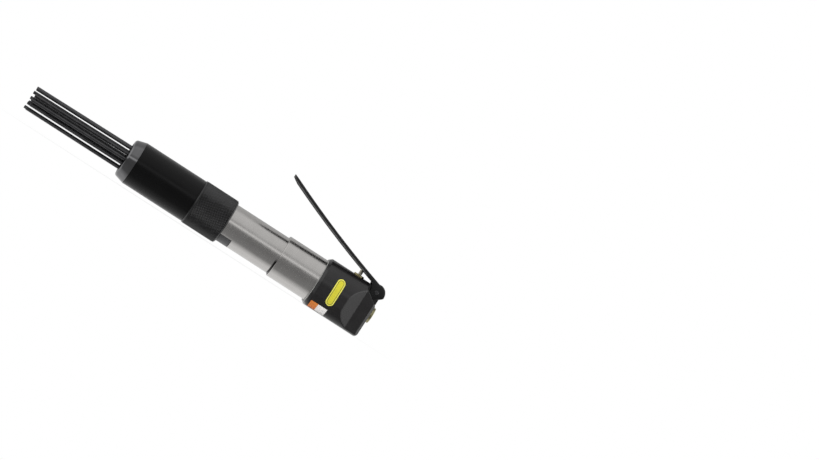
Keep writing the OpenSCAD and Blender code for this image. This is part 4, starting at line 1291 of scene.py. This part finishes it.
@dataclass
class AirInlet:
    """The inlet bushing with its inner pipe thread, and the strainer behind it."""

    x_housing: float = -3.1
    rim_r: float = 7.45
    shank_r: float = 6.75
    shank_end: float = -17.1
    bore_r: float = 5.55
    bore_len: float = 13.0
    pitch: float = 1.41
    thread_depth: float = 0.42
    x_screen: float = -14.4
    screen_r: float = 4.95
    air_r: float = 3.0
    cols: int = 120

    def build(self) -> None:
        """Makes the bushing. Inside, the radius is bore_r + depth * w(x / pitch - angle / 2 pi), where w is
        zigzag, steepened and cut off flat at the crests and roots. The thread fades out at its inner end."""
        cols, shank, rim = self.cols, self.shank_end, self.x_housing
        a = np.arange(cols)[None] * 2 * math.pi / cols
        outside = soft_outline([
            (self.x_screen, self.air_r, 0), (shank, self.air_r, 0.1), (shank, self.shank_r, 0.4),
            (rim, self.shank_r, 0.1), (rim, self.rim_r, 0.25), (0, self.rim_r, 0.55),
            (0, self.bore_r + 0.6, 0.1)], closed=False)
        inner_x = np.linspace(-0.35, -self.bore_len, 76)[:, None]
        wave = zigzag(inner_x / self.pitch - a / (2 * math.pi))
        ends = np.clip((inner_x + self.bore_len) / 1.0, 0, 1)
        inner_r = self.bore_r + self.thread_depth * np.clip(wave * 1.25 - 0.12, 0, 1) * ends
        step = np.array([(-self.bore_len, self.screen_r), (self.x_screen, self.screen_r)])
        out_x, out_r = spread(outside, cols)
        step_x, step_r = spread(step, cols)
        x = np.concatenate([out_x, np.repeat(inner_x, cols, 1), step_x])
        r = np.concatenate([out_r, inner_r, step_r])
        piece = ringed("inlet_bushing_turned", x, r, np.cos(a), np.sin(a), 40)
        brass = GroundMetal("dull_olive_brass", (0.26, 0.24, 0.13), (0.38, 0.35, 0.21), 0.38, ring_mm=0.3,
                            depth_mm=0.003).make()
        dress(piece, "tool_body", "olive_brass", brass, "inlet_bushing")
        steel = GroundMetal("strainer_steel", (0.4, 0.4, 0.41), (0.52, 0.52, 0.53), 0.3, ring_mm=0.4,
                            depth_mm=0.002).make()
        dress_node("inlet_screen", steel)


class Labels:
    """The three plain films on the housing's near side."""

    def build(self) -> None:
        """Dresses them."""
        yellow = BorderedPillFilm("yellow_pill_film", centre_x=-40.4, half_w=3.85, half_h=13.2)
        orange = PlainFilm("orange_film", (0.74, 0.22, 0.035), (0.82, 0.27, 0.05))
        white = PlainFilm("white_film", (0.92, 0.91, 0.90), (0.95, 0.94, 0.93))
        dress_node("pill_label", yellow.make())
        dress_node("orange_label", orange.make())
        dress_node("white_label", white.make())


@dataclass
class Studio:
    """The pale floor, the soft light and the camera at the photograph's angle."""

    floor_z: float = -23.65
    frame_w: float = 819.0
    px_per_mm: float = 1.13
    roll_deg: float = 32.8
    camera: tuple = (-453.0, -3990.0, 0.0)
    target: tuple = (-13.1, 0.0, 82.1)
    middle_m: tuple = (-0.17, 0, 0)
    day: float = 0.62
    floor_radii_m: tuple = (0.001, 0.3, 0.8, 2.0, 9.0)
    floor_grey: float = 0.9
    shadow_at_m: tuple = (0.1, 0, 0)
    shadow_scale: tuple = (0.5, 1, 0)
    shadow_share: float = 0.22
    shadow_fade_m: tuple = (0.06, 0.15)
    lamps: tuple = (("key_lamp", (-900, -1250, 1350), 0.9, 17.0), ("fill_lamp", (1100, -1500, 500), 1.1, 6.0),
                    ("rear_lamp", (200, 1500, 1200), 1.1, 7.0))
    ends: tuple = ((-1.0, 1.35), (1.0, 2.2))
    ends_from: tuple = (0.58, 0.86)
    bands: tuple = ((-180, 0.5), (-146, 0.62), (-116, 0.95), (-66, 1.0), (-55, 0.7), (-47, 0.32),
                    (-20, 0.25), (4, 0.27), (9, 0.5), (12.5, 1.25), (18, 1.25), (22, 0.5), (28, 0.5),
                    (38, 0.78), (88, 0.85), (104, 0.58), (150, 0.58), (180, 0.55))

    def walls(self, graph: Graph, place: Socket, ends: bool) -> Socket:
        """The studio's walls as seen from the tool: a grey for each angle arctan2(z, -y) about its axis.

        Args:
            graph: The nodes that the walls are added to.
            place: A direction, or a place in the tool's frame.
            ends: Whether pale walls stand beyond both ends of the axis, where the direction's x is large.

        Returns:
            The colour.
        """
        x, y, z = graph.split(place)
        turn = graph.sum(z, graph.times(y, -1.0), "ARCTAN2")
        ramp = graph.node("ShaderNodeValToRGB", {0: graph.sum(graph.times(turn, 0.5 / math.pi), 0.5)})
        stops = ramp.color_ramp.elements
        stops[1].position = 1.0
        stops[0].color = stops[1].color = (self.bands[0][1],) * 3 + (1,)
        for angle, grey in self.bands[1:-1]:
            stops.new(0.5 + angle / 360).color = (grey, grey, grey, 1)
        if not ends:
            return ramp.outputs[0]
        colour = ramp.outputs[0]
        for side, grey in self.ends:
            share = graph.span(graph.times(x, side), 0.0, 1.0, *self.ends_from)
            colour = graph.mix(share, colour, (grey, grey, grey, 1))
        return colour

    def light(self) -> None:
        """Sets the world and the lamps. The world is white to the camera, an even day to the surfaces, and
        soft banded walls to reflections."""
        world = bpy.data.worlds.new("studio")
        bpy.context.scene.world = world
        world.cycles.sampling_method = "NONE"
        world.use_nodes = True
        world.node_tree.nodes.clear()
        graph = Graph(world.node_tree)
        rays = graph.node("ShaderNodeLightPath").outputs

        def glow(colour: object) -> Socket:
            """Adds a background of one colour, given or from a socket."""
            return graph.node("ShaderNodeBackground", {"Color": colour}).outputs[0]

        day, white = (self.day, self.day, self.day, 1), (1, 1, 1, 1)
        mirrored = glow(self.walls(graph, graph.node("ShaderNodeTexCoord").outputs["Generated"], True))
        glossy = graph.sum(rays["Is Glossy Ray"], rays["Is Transmission Ray"], "MAXIMUM")
        lit = graph.node("ShaderNodeMixShader", {0: glossy, 1: glow(day), 2: mirrored}).outputs[0]
        seen = graph.node("ShaderNodeMixShader", {0: rays["Is Camera Ray"], 1: lit, 2: glow(white)})
        graph.node("ShaderNodeOutputWorld", {"Surface": seen.outputs[0]})
        for name, at, size, power in self.lamps:
            data = bpy.data.lights.new(name, "AREA")
            data.size, data.energy = size, power
            lamp = bpy.data.objects.new(name, data)
            place = Vector(at) * MM
            aim = (Vector(self.middle_m) - place).to_track_quat("-Z", "Y").to_matrix().to_4x4()
            lamp.matrix_world = Matrix.Translation(place) @ aim
            lamp.visible_glossy = False
            bpy.context.scene.collection.objects.link(lamp)

    def floor(self) -> None:
        """Makes the floor: a plain white disc. Near the tool the camera sees a share of its shading,
        shadow_share, which fades out over shadow_fade_m. Farther off it sees plain white."""
        rings, cols = len(self.floor_radii_m), 96
        a = np.arange(cols) * 2 * math.pi / cols
        radii = np.array(self.floor_radii_m)[:, None] / MM
        level = np.full((rings, cols), self.floor_z)
        points = np.stack([radii * np.cos(a), radii * np.sin(a), level], -1).reshape(-1, 3)
        faces = grid_faces(rings, cols, False, True)[:, ::-1].tolist() + [list(range(cols))]
        plane = new_piece("floor", points, faces)
        plane.data.transform(Matrix.Translation(self.middle_m))
        s = Shader("white_floor", Roughness=0.9, Specular_IOR_Level=0.1)
        s.surface.inputs["Base Color"].default_value = (self.floor_grey, self.floor_grey, self.floor_grey, 1)
        feeds = {"Vector": s.place, "Location": self.shadow_at_m, "Scale": self.shadow_scale}
        near = s.node("ShaderNodeMapping", feeds).outputs[0]
        away = s.node("ShaderNodeVectorMath", {0: near}, operation="LENGTH").outputs["Value"]
        share = s.span(away, self.shadow_share, 0.0, *self.shadow_fade_m)
        camera = s.node("ShaderNodeLightPath").outputs["Is Camera Ray"]
        white = s.node("ShaderNodeEmission", {"Color": (1, 1, 1, 1)}).outputs[0]
        mirrored = s.node("ShaderNodeEmission", {"Color": self.walls(s, s.place, False)}).outputs[0]
        factor = s.times(camera, s.sum(1.0, share, "SUBTRACT"))
        shown = s.node("ShaderNodeMixShader", {0: factor, 1: s.surface.outputs[0], 2: white}).outputs[0]
        glossy = s.node("ShaderNodeLightPath").outputs["Is Glossy Ray"]
        mixed = s.node("ShaderNodeMixShader", {0: glossy, 1: shown, 2: mirrored})
        s.tree.links.new(mixed.outputs[0], s.tree.nodes["Material Output"].inputs["Surface"])
        plane.data.materials.append(s.material)

    def aim(self) -> None:
        """Makes the camera: it looks level from the front, with its frame rolled so that the tool slants."""
        data = bpy.data.cameras.new("camera")
        at, to = Vector(self.camera), Vector(self.target)
        back = (at - to).normalized()
        roll = math.radians(self.roll_deg)
        right = Vector((math.cos(roll), 0, math.sin(roll)))
        right = (right - back * right.dot(back)).normalized()
        up = back.cross(right)
        turn = Matrix((right, up, back)).transposed().to_4x4()
        data.lens = 36 * self.px_per_mm * (at - to).length / self.frame_w
        data.clip_start, data.clip_end = 0.05, 60
        lens = bpy.data.objects.new("camera", data)
        lens.matrix_world = Matrix.Translation(at * MM) @ turn
        bpy.context.scene.collection.objects.link(lens)
        bpy.context.scene.camera = lens

    def build(self) -> None:
        """Makes the studio."""
        bpy.context.scene.view_settings.view_transform = "Standard"
        self.light()
        self.floor()
        self.aim()


def main() -> None:
    """Builds the studio and the sub-assemblies."""
    logging.basicConfig(level=logging.INFO, format="%(name)s: %(message)s")
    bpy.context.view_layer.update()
    for part in (Studio, NeedleBundle, FrontSleeve, KnurledCollar, Barrel, ThrottleHousing, Lever, Throttle,
                 AirInlet, Labels):
        part().build()


if __name__ == "__main__":
    main()
